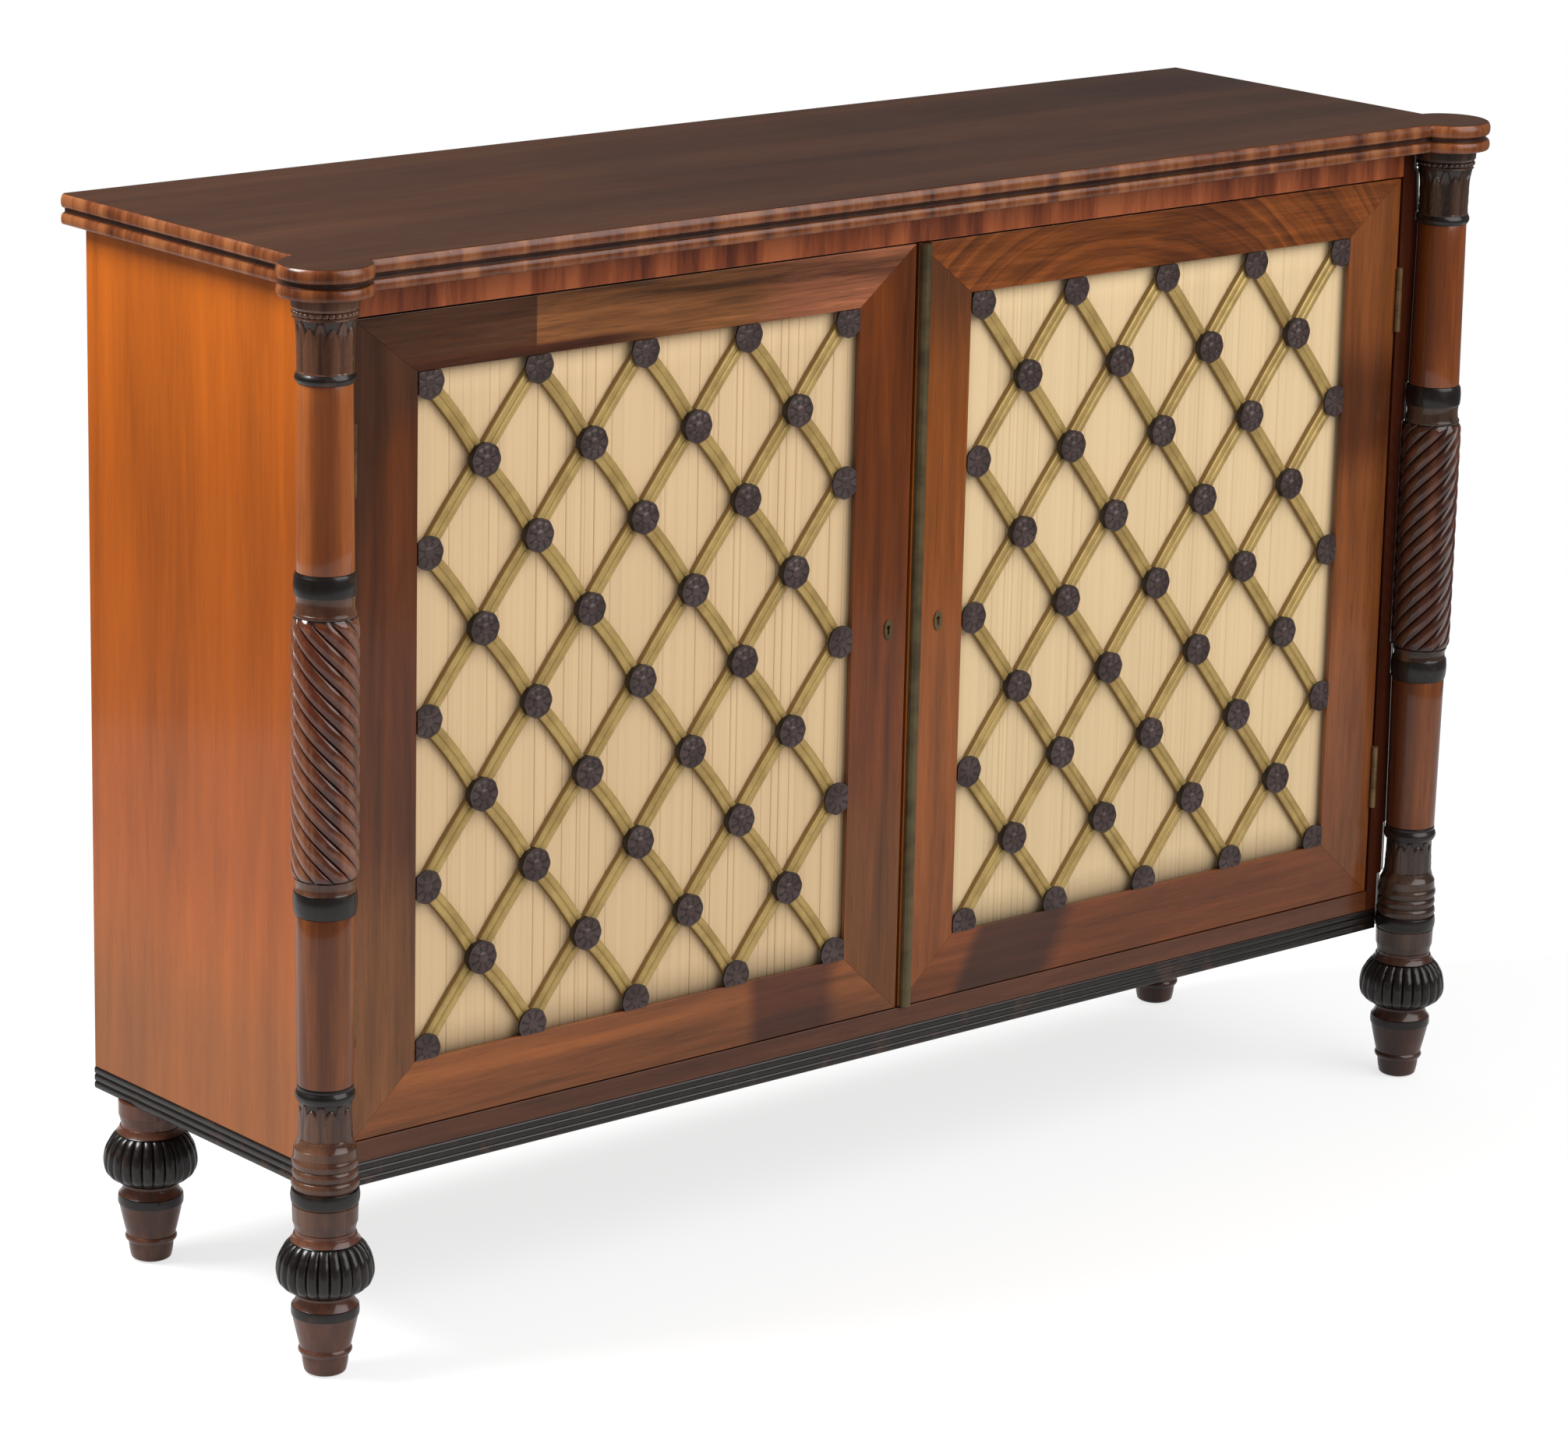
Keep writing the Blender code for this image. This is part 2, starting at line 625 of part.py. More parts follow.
def make_base(scoops):
    """Reeded mouldings on the front and the sides, mitred at the front corners, and a back rail."""
    outer = CASE_HALF + BASE_MOULDING_PROUD
    face = FRONT - BASE_MOULDING_PROUD
    joint = CLEARANCE / math.sqrt(2)
    front = prism_mesh([(face + d, CASE_LIFT + z) for d, z in reeded_section()], -outer, outer, "YZ")
    for sign in (-1, 1):
        saw(front, (sign * (outer - joint), face, 0), (sign, 1, 0))
    piece = add_mesh("base_moulding_front", "ebonised", front)
    for scoop in scoops.values():
        cut(piece, scoop)
    for side, sign in sides():
        length = CASE_BACK - face
        section = [(d, CASE_LIFT + z) for d, z in reeded_section()]
        member = prism_mesh(section, 0.0, length, "YZ")
        turn = Matrix.Rotation(math.pi / 2, 4, "Z")
        bmesh.ops.transform(member, matrix=turn, verts=member.verts)
        if sign < 0:
            bmesh.ops.scale(member, vec=(-1, 1, 1), verts=member.verts)
        bmesh.ops.translate(member, vec=(sign * outer, face, 0), verts=member.verts)
        saw(member, (sign * outer, face + joint, 0), (-sign, -1, 0))
        piece = add_mesh(f"base_moulding_{side}", "ebonised", member)
        cut(piece, scoops[side])
    inner = outer - BASE_MOULDING_DEPTH - CLEARANCE
    low = (-inner, CASE_BACK - BACK_RAIL_DEPTH, CASE_LIFT)
    box("base_rail_back", "inside_wood", low, (inner, CASE_BACK, MOULDING_TOP))


def make_case(scoops):
    post_back = FRONT + POST_DEPTH
    shelf_low = (SHELF_SETBACK + FRONT - CLEARANCE, SHELF_HEIGHT - CLEARANCE)
    shelf_high = SHELF_HEIGHT + SHELF_THICKNESS + CLEARANCE
    for side, sign in sides():
        xs = sorted((sign * POST_INNER, sign * CASE_HALF))
        post = box(
            f"corner_post_{side}",
            "case_mahogany",
            (xs[0], FRONT, CASE_FOOT),
            (xs[1], post_back, CASE_HEAD),
        )
        cut(post, scoops[side])
        xs = sorted((sign * SIDE_INNER, sign * CASE_HALF))
        panel = box(
            f"side_panel_{side}",
            "case_mahogany",
            (xs[0], post_back + CLEARANCE, CASE_FOOT),
            (xs[1], CASE_BACK, CASE_HEAD),
        )
        xs = sorted((sign * (SIDE_INNER - THROUGH), sign * (SIDE_INNER + HOUSING_DEPTH)))
        housing = box(
            f"shelf_housing_{side}",
            None,
            (xs[0], shelf_low[0], shelf_low[1]),
            (xs[1], CASE_BACK + THROUGH, shelf_high),
        )
        cut(panel, housing)
    inner = SIDE_INNER - CLEARANCE
    box(
        "back_panel",
        "inside_wood",
        (-inner, BACK_PANEL_FRONT, CASE_FOOT),
        (inner, CASE_BACK, CASE_HEAD),
    )
    notch_x = POST_INNER - CLEARANCE
    notch_y = post_back + CLEARANCE
    back = BACK_PANEL_FRONT - CLEARANCE
    half = [(notch_x, FRONT), (notch_x, notch_y), (inner, notch_y), (inner, back)]
    outline = half + [(-x, y) for x, y in reversed(half)]
    board = prism_mesh(outline, CASE_FOOT, BOTTOM_TOP)
    bottom = add_mesh("bottom_board", "door_veneer", board)
    frieze = box(
        "frieze_rail",
        "door_veneer",
        (-notch_x, FRONT, FRIEZE_FOOT),
        (notch_x, FRONT + FRIEZE_DEPTH, CASE_HEAD),
    )
    x, y = -DOOR_INNER - BOLT_FROM_EDGE, BOLT_ROD_Y
    for rail, low, high in (
        (bottom, DOOR_FOOT - BOLT_THROW - THROUGH / 2, BOTTOM_TOP + THROUGH),
        (frieze, FRIEZE_FOOT - THROUGH, DOOR_HEAD + BOLT_THROW + THROUGH / 2),
    ):
        name = f"bolt_socket_{rail.name}"
        cut(rail, cylinder(name, None, BOLT_BORE_RADIUS, (x, y, low), (x, y, high), SMALL_STEPS))
    reach = SIDE_INNER + HOUSING_DEPTH - CLEARANCE
    box(
        "shelf",
        "inside_wood",
        (-reach, FRONT + SHELF_SETBACK, SHELF_HEIGHT),
        (reach, back, SHELF_HEIGHT + SHELF_THICKNESS),
    )


# Doors


def frame_member(name, length, width, start_width, end_width, turn, place, axle):
    """One rebated member of a door's frame, mitred at both ends.

    It lies along its own X, its outer edge on Z = 0 and its inner edge on Z = width. turn is its angle
    about Y and place is the middle of its outer edge.
    """
    lip = width - REBATE_WIDTH
    section = [
        (0.0, 0.0),
        (0.0, width),
        (LIP_THICKNESS, width),
        (LIP_THICKNESS, lip),
        (DOOR_THICKNESS, lip),
        (DOOR_THICKNESS, 0.0),
    ]
    member = prism_mesh(section, -length / 2, length / 2, "YZ")
    for sign, other in ((-1, start_width), (1, end_width)):
        corner = sign * (length / 2 - CLEARANCE / 2)
        saw(member, (corner, 0, 0), (sign * width, 0, other))
    obj = add_mesh(name, "door_veneer", member, place)
    obj.rotation_euler = (0, turn, 0)
    return carried(obj, axle)


def make_frame(side, sign, axle):
    """The two stiles and two rails of a door. Its meeting stile is the one near X = 0."""
    hinge, meeting = HINGE_STILE_WIDTH, MEETING_STILE_WIDTH
    middle_x = sign * (DOOR_INNER + DOOR_OUTER) / 2
    middle_z = (DOOR_FOOT + DOOR_HEAD) / 2
    quarter = math.pi / 2
    low_width, high_width = (hinge, meeting) if sign < 0 else (meeting, hinge)
    pieces = {}
    pieces["bottom_rail"] = frame_member(
        f"bottom_rail_{side}",
        DOOR_WIDTH,
        BOTTOM_RAIL_WIDTH,
        low_width,
        high_width,
        0.0,
        (middle_x, FRONT, DOOR_FOOT),
        axle,
    )
    pieces["top_rail"] = frame_member(
        f"top_rail_{side}",
        DOOR_WIDTH,
        TOP_RAIL_WIDTH,
        high_width,
        low_width,
        2 * quarter,
        (middle_x, FRONT, DOOR_HEAD),
        axle,
    )
    for kind, x, width in (("hinge", DOOR_OUTER, hinge), ("meeting", DOOR_INNER, meeting)):
        outward = sign if kind == "hinge" else -sign
        turn = -outward * quarter
        ends = (BOTTOM_RAIL_WIDTH, TOP_RAIL_WIDTH)
        start_width, end_width = ends if outward > 0 else ends[::-1]
        pieces[kind] = frame_member(
            f"{kind}_stile_{side}",
            DOOR_HEIGHT,
            width,
            start_width,
            end_width,
            turn,
            (sign * x, FRONT, middle_z),
            axle,
        )
    return pieces


def lattice_nodes():
    """(column, row) of every crossing, in cells from the lower left corner."""
    cells = LATTICE_CELLS
    corners = [(i, j) for i in range(cells + 1) for j in range(cells + 1)]
    middles = [(i + 0.5, j + 0.5) for i in range(cells) for j in range(cells)]
    return corners + middles


def strip_ends(direction):
    """The two ends of each strip, in cells, that rises or falls to the right."""
    cells = LATTICE_CELLS
    ends = []
    for offset in range(1 - cells, cells):
        first = (max(0, offset), max(0, -offset))
        last = (min(cells, cells + offset), min(cells, cells - offset))
        if direction < 0:
            first, last = (first[0], cells - first[1]), (last[0], cells - last[1])
        ends.append((first, last))
    return ends


def make_lattice(side, sign, axle):
    """Ridged brass strips that run through a rosette at each crossing, as one riveted grille."""
    left = min(sign * OPENING_INNER, sign * OPENING_OUTER) + LATTICE_SIDE_MARGIN
    foot = OPENING_FOOT + LATTICE_FOOT_MARGIN
    cell_x = (OPENING_OUTER - OPENING_INNER - 2 * LATTICE_SIDE_MARGIN) / LATTICE_CELLS
    cell_z = (OPENING_HEAD - LATTICE_HEAD_MARGIN - foot) / LATTICE_CELLS
    middle = (ROSETTE_FRONT + ROSETTE_BACK) / 2
    bm = bmesh.new()
    flat_side_out = Matrix.Rotation(math.pi / ROSETTE_SIDES, 4, "Z")
    facing = Matrix.Rotation(math.pi / 2, 4, "X") @ flat_side_out
    for column, row in lattice_nodes():
        place = Matrix.Translation((column * cell_x, 0, row * cell_z)) @ facing
        bmesh.ops.create_cone(
            bm,
            cap_ends=True,
            segments=ROSETTE_SIDES,
            radius1=ROSETTE_RADIUS,
            radius2=ROSETTE_FACE_RADIUS,
            depth=ROSETTE_THICKNESS,
            matrix=place,
        )
    lattice = add_mesh(f"lattice_{side}", "brass", bm, (left, middle, foot))
    section = [(STRIP_BACK, -STRIP_WIDTH / 2), (STRIP_BACK, STRIP_WIDTH / 2), (STRIP_FRONT, 0.0)]
    section = [(y - middle, z) for y, z in section]
    pieces = [lattice]
    for direction, kind in ((1, "rising"), (-1, "falling")):
        strips = bmesh.new()
        for first, last in strip_ends(direction):
            start = Vector((first[0] * cell_x, 0, first[1] * cell_z))
            run = Vector((last[0] * cell_x, 0, last[1] * cell_z)) - start
            strip = prism_mesh(section, -STRIP_WIDTH / 2, run.length + STRIP_WIDTH / 2, "YZ")
            turn = Matrix.Rotation(-math.atan2(run.z, run.x), 4, "Y")
            bmesh.ops.transform(strip, matrix=Matrix.Translation(start) @ turn, verts=strip.verts)
            one = bpy.data.meshes.new("strip")
            strip.to_mesh(one)
            strip.free()
            strips.from_mesh(one)
            bpy.data.meshes.remove(one)
        pieces.append(add_mesh(f"lattice_{side}_{kind}", None, strips, (left, middle, foot)))
        join(lattice, pieces[-1])
    for piece in pieces:
        carried(piece, axle)


def make_silk(side, sign, axle):
    """A curtain in upright pleats that fills the rebate behind the trellis."""
    slack = REBATE_WIDTH - CLEARANCE
    left = min(sign * OPENING_INNER, sign * OPENING_OUTER) - slack
    width = OPENING_OUTER - OPENING_INNER + 2 * slack
    front = []
    for i in range(2 * SILK_PLEATS + 1):
        front.append((width * i / (2 * SILK_PLEATS), 0.0 if i % 2 else SILK_FOLD))
    outline = front + [(x, y + SILK_THICKNESS) for x, y in reversed(front)]
    foot = OPENING_FOOT - slack
    head = OPENING_HEAD + slack
    silk = add_mesh(f"silk_{side}", "silk", prism_mesh(outline, 0.0, head - foot), (left, SILK_FRONT, foot))
    carried(silk, axle)


def make_hinge(side, sign, level, middle, axle):
    """A butt hinge: a leaf on the post with the pin, and a leaf on the door with the middle knuckle."""
    third = HINGE_LENGTH / 3
    x, y = sign * PIN_X, PIN_Y
    foot = middle - HINGE_LENGTH / 2
    leaf_start = FRONT - PIN_Y + CLEARANCE
    leaf_end = leaf_start + HINGE_LEAF_WIDTH
    gap = CLEARANCE / 2

    def leaf(name, x_low, x_high, tabs, location):
        outline = [(leaf_end, 0.0), (leaf_end, HINGE_LENGTH)]
        for low, high in reversed(tabs):
            outline += [(leaf_start, high), (0.0, high), (0.0, low), (leaf_start, low)]
        if tabs[-1][1] < HINGE_LENGTH:
            outline.insert(2, (leaf_start, HINGE_LENGTH))
        else:
            outline.pop(2)
        if tabs[0][0] > 0.0:
            outline.append((leaf_start, 0.0))
        else:
            outline.pop()
        return add_mesh(name, "brass", prism_mesh(outline, x_low, x_high, "YZ"), location)

    fixed_x = sorted((sign * gap, sign * (gap + LEAF_THICKNESS)))
    fixed = leaf(
        f"hinge_post_leaf_{side}_{level}",
        *fixed_x,
        [(0.0, third - gap), (2 * third + gap, HINGE_LENGTH)],
        (x, y, foot),
    )
    spool = stacked(
        taper(KNUCKLE_RADIUS, KNUCKLE_RADIUS, third - gap),
        taper(PIN_RADIUS, PIN_RADIUS, third + 2 * gap),
        taper(KNUCKLE_RADIUS, KNUCKLE_RADIUS, third - gap),
    )
    spool_name = f"hinge_spool_{side}_{level}"
    join(fixed, turned(spool_name, None, spool, (x, y, foot), SMALL_STEPS))
    moving_x = sorted((-sign * gap, -sign * (gap + LEAF_THICKNESS)))
    moving = leaf(
        f"hinge_door_leaf_{side}_{level}",
        *moving_x,
        [(third + gap, 2 * third - gap)],
        (x, y, foot),
    )
    low, high = (x, y, foot + third + gap), (x, y, foot + 2 * third - gap)
    name = f"hinge_{side}_{level}"
    knuckle = cylinder(name + "_knuckle", None, KNUCKLE_RADIUS, low, high, SMALL_STEPS)
    join(moving, knuckle)
    bore_low, bore_high = (x, y, foot), (x, y, foot + HINGE_LENGTH)
    bore = cylinder(name + "_bore", None, PIN_BORE_RADIUS, bore_low, bore_high, SMALL_STEPS)
    cut(moving, bore)
    for obj in (moving, knuckle, bore):
        carried(obj, axle)


def make_astragal(axle):
    """The brass bead on the right door's leading edge."""
    centre = DOOR_INNER + ASTRAGAL_FROM_EDGE + ASTRAGAL_WIDTH / 2
    back = FRONT - CLEARANCE
    steps = 6
    outline = []
    for i in range(steps + 1):
        angle = math.pi * i / steps
        x = centre + ASTRAGAL_WIDTH / 2 * math.cos(angle)
        outline.append((x, back - ASTRAGAL_DEPTH * math.sin(angle)))
    bead = prism_mesh(outline, DOOR_FOOT, DOOR_HEAD)
    carried(add_mesh("astragal_right", "brass", bead), axle)


def make_escutcheon(side, x, depth, stile, axle):
    """An oval plate with a keyhole, which goes on into the stile."""
    steps = 12
    outline = []
    for i in range(steps):
        angle = 2 * math.pi * i / steps
        outline.append((ESCUTCHEON_WIDTH / 2 * math.cos(angle), ESCUTCHEON_HEIGHT / 2 * math.sin(angle)))
    plate = prism_mesh(outline, 0.0, ESCUTCHEON_THICKNESS)
    bmesh.ops.transform(plate, matrix=Matrix.Rotation(math.pi / 2, 4, "X"), verts=plate.verts)
    obj = add_mesh(f"escutcheon_{side}", "brass", plate, (x, FRONT - CLEARANCE, LOCK_HEIGHT))
    front = FRONT - ESCUTCHEON_THICKNESS - THROUGH
    round_part = cylinder(
        f"keyhole_{side}_round",
        None,
        KEYHOLE_RADIUS,
        (x, front, LOCK_HEIGHT + KEYHOLE_SLOT_LENGTH / 3),
        (x, FRONT + depth, LOCK_HEIGHT + KEYHOLE_SLOT_LENGTH / 3),
        SMALL_STEPS,
        "Y",
    )
    slot = box(
        f"keyhole_{side}_slot",
        None,
        (x - KEYHOLE_SLOT_WIDTH / 2, front, LOCK_HEIGHT - KEYHOLE_SLOT_LENGTH * 2 / 3),
        (x + KEYHOLE_SLOT_WIDTH / 2, FRONT + depth, LOCK_HEIGHT + KEYHOLE_SLOT_LENGTH / 3),
    )
    for target in (obj, stile):
        cut(target, round_part)
        cut(target, slot)
    for piece in (obj, round_part, slot):
        carried(piece, axle)


def make_lock(left_stile, right_stile, axle_left, axle_right):
    """A lock let into the right meeting stile, its bolt drawn back, and the left stile's mortise."""
    half = LOCK_CASE_HEIGHT / 2
    low = (DOOR_INNER, LOCK_CASE_FRONT, LOCK_HEIGHT - half)
    high = (DOOR_INNER + LOCK_CASE_WIDTH, DOOR_BACK, LOCK_HEIGHT + half)
    case = box("lock_case", "brass", low, high)
    recess_low, recess_high = grown(low, high, CLEARANCE)
    recess_low[0] -= THROUGH
    recess_high[1] += THROUGH
    recess = box("lock_recess", None, recess_low, recess_high)
    cut(right_stile, recess)
    thick, tall = LOCK_BOLT_THICKNESS / 2, LOCK_BOLT_HEIGHT / 2
    bolt_low = (DOOR_INNER, LOCK_BOLT_Y - thick, LOCK_HEIGHT - tall)
    bolt_high = (DOOR_INNER + LOCK_BOLT_LENGTH, LOCK_BOLT_Y + thick, LOCK_HEIGHT + tall)
    bolt = box("lock_bolt", "brass", bolt_low, bolt_high)
    channel_low, channel_high = grown(bolt_low, bolt_high, CLEARANCE)
    channel_low[0] -= THROUGH
    channel = box("lock_channel", None, channel_low, channel_high)
    cut(case, channel)
    mortise_low, mortise_high = grown(bolt_low, bolt_high, 3 * CLEARANCE)
    mortise_low[0] = -DOOR_INNER - LOCK_BOLT_THROW
    mortise_high[0] = -DOOR_INNER + THROUGH / 2
    mortise = box("bolt_mortise", None, mortise_low, mortise_high)
    cut(left_stile, mortise)
    for obj in (case, recess, bolt, channel):
        carried(obj, axle_right)
    carried(mortise, axle_left)


def make_door_bolt(level, sign, axle):
    """A bolt on the back of the left door's meeting stile; sign is 1 at the top of the door."""
    end = DOOR_HEAD if sign > 0 else DOOR_FOOT
    x, y = -DOOR_INNER - BOLT_FROM_EDGE, BOLT_ROD_Y
    near = end - sign * BOLT_PLATE_FROM_END
    far = near - sign * BOLT_PLATE_LENGTH

    def block(name, material, half, y_low, y_high, z_first, z_last):
        zs = sorted((z_first, z_last))
        return box(name, material, (x - half, y_low, zs[0]), (x + half, y_high, zs[1]))

    plate_back = BOLT_PLATE_FRONT + BOLT_PLATE_THICKNESS
    half = BOLT_PLATE_WIDTH / 2
    plate = block(f"door_bolt_plate_{level}", "brass", half, BOLT_PLATE_FRONT, plate_back, near, far)
    guide_half = BOLT_BORE_RADIUS + BOLT_PLATE_THICKNESS
    pieces = [plate]
    for place, start in (("near", near - sign * MERGE), ("far", far + sign * (BOLT_GUIDE_HEIGHT + MERGE))):
        guide = block(
            f"bolt_guide_{level}_{place}",
            None,
            guide_half,
            plate_back - OVERLAP,
            plate_back + BOLT_GUIDE_DEPTH,
            start,
            start - sign * BOLT_GUIDE_HEIGHT,
        )
        join(plate, guide)
        pieces.append(guide)
    zs = sorted((near + sign * THROUGH, far - sign * THROUGH))
    name = f"bolt_bore_{level}"
    bore = cylinder(name, None, BOLT_BORE_RADIUS, (x, y, zs[0]), (x, y, zs[1]), SMALL_STEPS)
    cut(plate, bore)
    zs = sorted((end - sign * CLEARANCE, far + sign * THROUGH))
    name = f"door_bolt_{level}"
    rod = cylinder(name, "brass", BOLT_ROD_RADIUS, (x, y, zs[0]), (x, y, zs[1]), SMALL_STEPS)
    knob_z = (near + far) / 2 - sign * BOLT_THROW / 2
    knob_end = y + BOLT_ROD_RADIUS + BOLT_KNOB_LENGTH
    name = f"bolt_knob_{level}"
    knob = cylinder(name, None, BOLT_KNOB_RADIUS, (x, y, knob_z), (x, knob_end, knob_z), SMALL_STEPS, "Y")
    join(rod, knob)
    for obj in pieces + [bore, rod, knob]:
        carried(obj, axle)


def make_doors():
    axles = {}
    stiles = {}
    for side, sign in sides():
        axle = empty(f"hinge_axis_{side}", (sign * PIN_X, PIN_Y, DOOR_FOOT))
        axles[side] = axle
        stiles[side] = make_frame(side, sign, axle)["meeting"]
        make_lattice(side, sign, axle)
        make_silk(side, sign, axle)
        make_hinge(side, sign, "lower", DOOR_FOOT + HINGE_FROM_END, axle)
        make_hinge(side, sign, "upper", DOOR_HEAD - HINGE_FROM_END, axle)
    make_astragal(axles["right"])
    make_escutcheon("left", -KEYHOLE_LEFT, KEYHOLE_DEPTH, stiles["left"], axles["left"])
    to_lock = LOCK_CASE_FRONT - FRONT
    make_escutcheon("right", KEYHOLE_RIGHT, to_lock, stiles["right"], axles["right"])
    make_lock(stiles["left"], stiles["right"], axles["left"], axles["right"])
    make_door_bolt("upper", 1, axles["left"])
    make_door_bolt("lower", -1, axles["left"])


def main():
    clear_scene()
    make_finishes()
    make_top()
    make_columns()
    scoops = make_scoops()
    make_base(scoops)
    make_case(scoops)
    make_doors()
    bpy.context.view_layer.update()
    print(f"height {TOTAL_HEIGHT:.4f}, width {2 * (COLUMN_X + BULB_RADIUS):.4f}")


main()
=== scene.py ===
"""A Regency side cabinet in mahogany and rosewood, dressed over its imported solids.

Everything is in metres in the solids' own frame: X to the right, Y to the back, Z up.
"""

import bisect
import json
import math
import random

import bmesh
import bpy
from mathutils import Matrix, Vector, noise


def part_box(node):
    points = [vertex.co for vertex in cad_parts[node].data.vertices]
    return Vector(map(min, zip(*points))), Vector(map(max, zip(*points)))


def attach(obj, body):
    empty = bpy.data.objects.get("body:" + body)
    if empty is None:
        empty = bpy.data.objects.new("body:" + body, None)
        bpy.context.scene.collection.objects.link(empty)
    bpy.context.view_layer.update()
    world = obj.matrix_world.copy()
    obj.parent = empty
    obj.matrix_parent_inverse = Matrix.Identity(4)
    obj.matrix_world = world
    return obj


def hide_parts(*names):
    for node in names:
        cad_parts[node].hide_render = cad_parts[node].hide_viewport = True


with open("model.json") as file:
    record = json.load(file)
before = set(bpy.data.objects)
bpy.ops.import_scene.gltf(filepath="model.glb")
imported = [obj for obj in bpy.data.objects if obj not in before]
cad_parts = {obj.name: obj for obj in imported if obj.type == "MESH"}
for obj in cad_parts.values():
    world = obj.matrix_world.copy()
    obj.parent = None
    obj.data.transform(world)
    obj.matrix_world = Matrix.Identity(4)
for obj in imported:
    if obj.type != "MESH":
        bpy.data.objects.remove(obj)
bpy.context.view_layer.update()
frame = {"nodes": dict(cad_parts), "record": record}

MM = 0.001
BODY_OF = {
    node: body
    for body, nodes in frame["record"]["behaviour"]["bodies"].items()
    for node in nodes
}
# Finishes darken a piece by it: tarnish on metal, dirt and painted shade on wood, painted shade in
# the silk's tucks
HOLLOW_LAYER = "hollow"  # 0 on a crest, 1 in the bottom of a carved hollow
SIDES = (("left", -1), ("right", 1))
MERGE = 1e-6  # points nearer to each other than this are one
EASE = 0.0004  # how far a turned piece's sharp corners are rounded off


# Shader maths


class Value:
    """A value that varies over a surface. Arithmetic on it adds Math nodes."""

    def __init__(self, graph, socket):
        self.graph = graph
        self.socket = socket

    def math(self, operation, first, second):
        return self.graph.node("ShaderNodeMath", {"operation": operation}, {0: first, 1: second})

    def __add__(self, other):
        return self.math("ADD", self, other)

    def __sub__(self, other):
        return self.math("SUBTRACT", self, other)

    def __rsub__(self, other):
        return self.math("SUBTRACT", other, self)

    def __mul__(self, other):
        return self.math("MULTIPLY", self, other)

    def __pow__(self, other):
        return self.math("POWER", self, other)

    __radd__ = __add__
    __rmul__ = __mul__

    def between(self, low, high):
        """0 up to low, 1 from high on, and a smooth rise from one to the other."""
        settings = {"interpolation_type": "SMOOTHSTEP"}
        inputs = {"Value": self, "From Min": low, "From Max": high}
        return self.graph.node("ShaderNodeMapRange", settings, inputs)

    def patch(self, rise, fall):
        """A smooth rise from 0 to 1 over the first range, and back again over the second."""
        return self.between(*rise) * (1 - self.between(*fall))


class Graph:
    """A node tree, and the one way in which its nodes are made."""

    def __init__(self, tree):
        self.tree = tree

    def node(self, kind, settings=None, inputs=None, output=0):
        """One output of a new node, as a Value. Its settings are made before its inputs."""
        node = self.tree.nodes.new(kind)
        for name, value in (settings or {}).items():
            setattr(node, name, value)
        for name, value in (inputs or {}).items():
            self.feed(node.inputs[name], value)
        return Value(self, node.outputs[output])

    def feed(self, socket, value):
        """Links a socket to a Value, or sets it to a number or a colour."""
        if isinstance(value, Value):
            self.tree.links.new(value.socket, socket)
        elif socket.type == "RGBA":
            socket.default_value = (*value, 1.0)
        else:
            socket.default_value = value


class Finish(Graph):
    """The material of one finish."""

    def __init__(self, name):
        self.material = bpy.data.materials.new(name)
        self.material.use_nodes = True
        super().__init__(self.material.node_tree)
        self.shader = self.tree.nodes["Principled BSDF"]

    def place(self, scale=(1, 1, 1)):
        """The piece's own coordinates in metres, stretched."""
        where = self.node("ShaderNodeTexCoord", output="Object")
        return self.node("ShaderNodeMapping", {}, {"Vector": where, "Scale": scale})

    def split(self, vector):
        """The x, y and z of a vector."""
        x = self.node("ShaderNodeSeparateXYZ", {}, {"Vector": vector})
        return [x] + [Value(self, x.socket.node.outputs[i]) for i in (1, 2)]

    def noise(self, at, scale, detail, roughness=0.5, distortion=0.0):
        inputs = {
            "Vector": at,
            "Scale": scale,
            "Detail": detail,
            "Roughness": roughness,
            "Distortion": distortion,
        }
        return self.node("ShaderNodeTexNoise", {}, inputs)

    def mix(self, factor, first, second):
        """The first colour where the factor is 0, and the second where it is 1."""
        inputs = {0: factor, 6: first, 7: second}
        return self.node("ShaderNodeMix", {"data_type": "RGBA"}, inputs, 2)

    def ramp(self, value, stops):
        """Colours from (place, colour) stops."""
        stops = list(stops)
        result = self.node("ShaderNodeValToRGB", {}, {"Fac": value})
        colours = result.socket.node.color_ramp.elements
        while len(colours) < len(stops):
            colours.new(1.0)
        for element, (position, colour) in zip(colours, stops):
            element.position = position
            element.color = (*colour, 1.0)
        return result

    def hollow(self):
        """How deep a point lies in the carving of its piece."""
        settings = {"attribute_type": "GEOMETRY", "attribute_name": HOLLOW_LAYER}
        return self.node("ShaderNodeAttribute", settings, output="Fac")

    def bump(self, height, strength, distance):
        inputs = {"Height": height, "Strength": strength, "Distance": distance}
        return self.node("ShaderNodeBump", {}, inputs, "Normal")

    def done(self, **inputs):
        """Feeds the shader's sockets, whose names are given with _ for a space."""
        for name, value in inputs.items():
            self.feed(self.shader.inputs[name.replace("_", " ")], value)
        return self.material


def srgb(red, green, blue):
    """The colour of a swatch given as 0 to 255."""
    return tuple((c / 255) ** 2.2 for c in (red, green, blue))


# Finishes

# How much a figure is drawn out along the grain
ALONG = {"x": (0.07, 1, 1), "z": (1, 1, 0.07)}
FINE_ALONG = {"x": (0.02, 1, 1), "z": (1, 1, 0.02)}
# Where in a wood's figure its dark, middle and light colours lie
VENEER_STOPS = (0.34, 0.5, 0.66)
# In plan, from the right column's axis: the way in which its painted shade fades out
AWAY_FROM_DOORS = (0.69, -0.72)


def shades(middle, dark, light):
    """The dark, middle and light colours of a wood, from the swatch of its middle one."""
    return [srgb(*(c * by for c in middle)) for by in (dark, 1.0, light)]


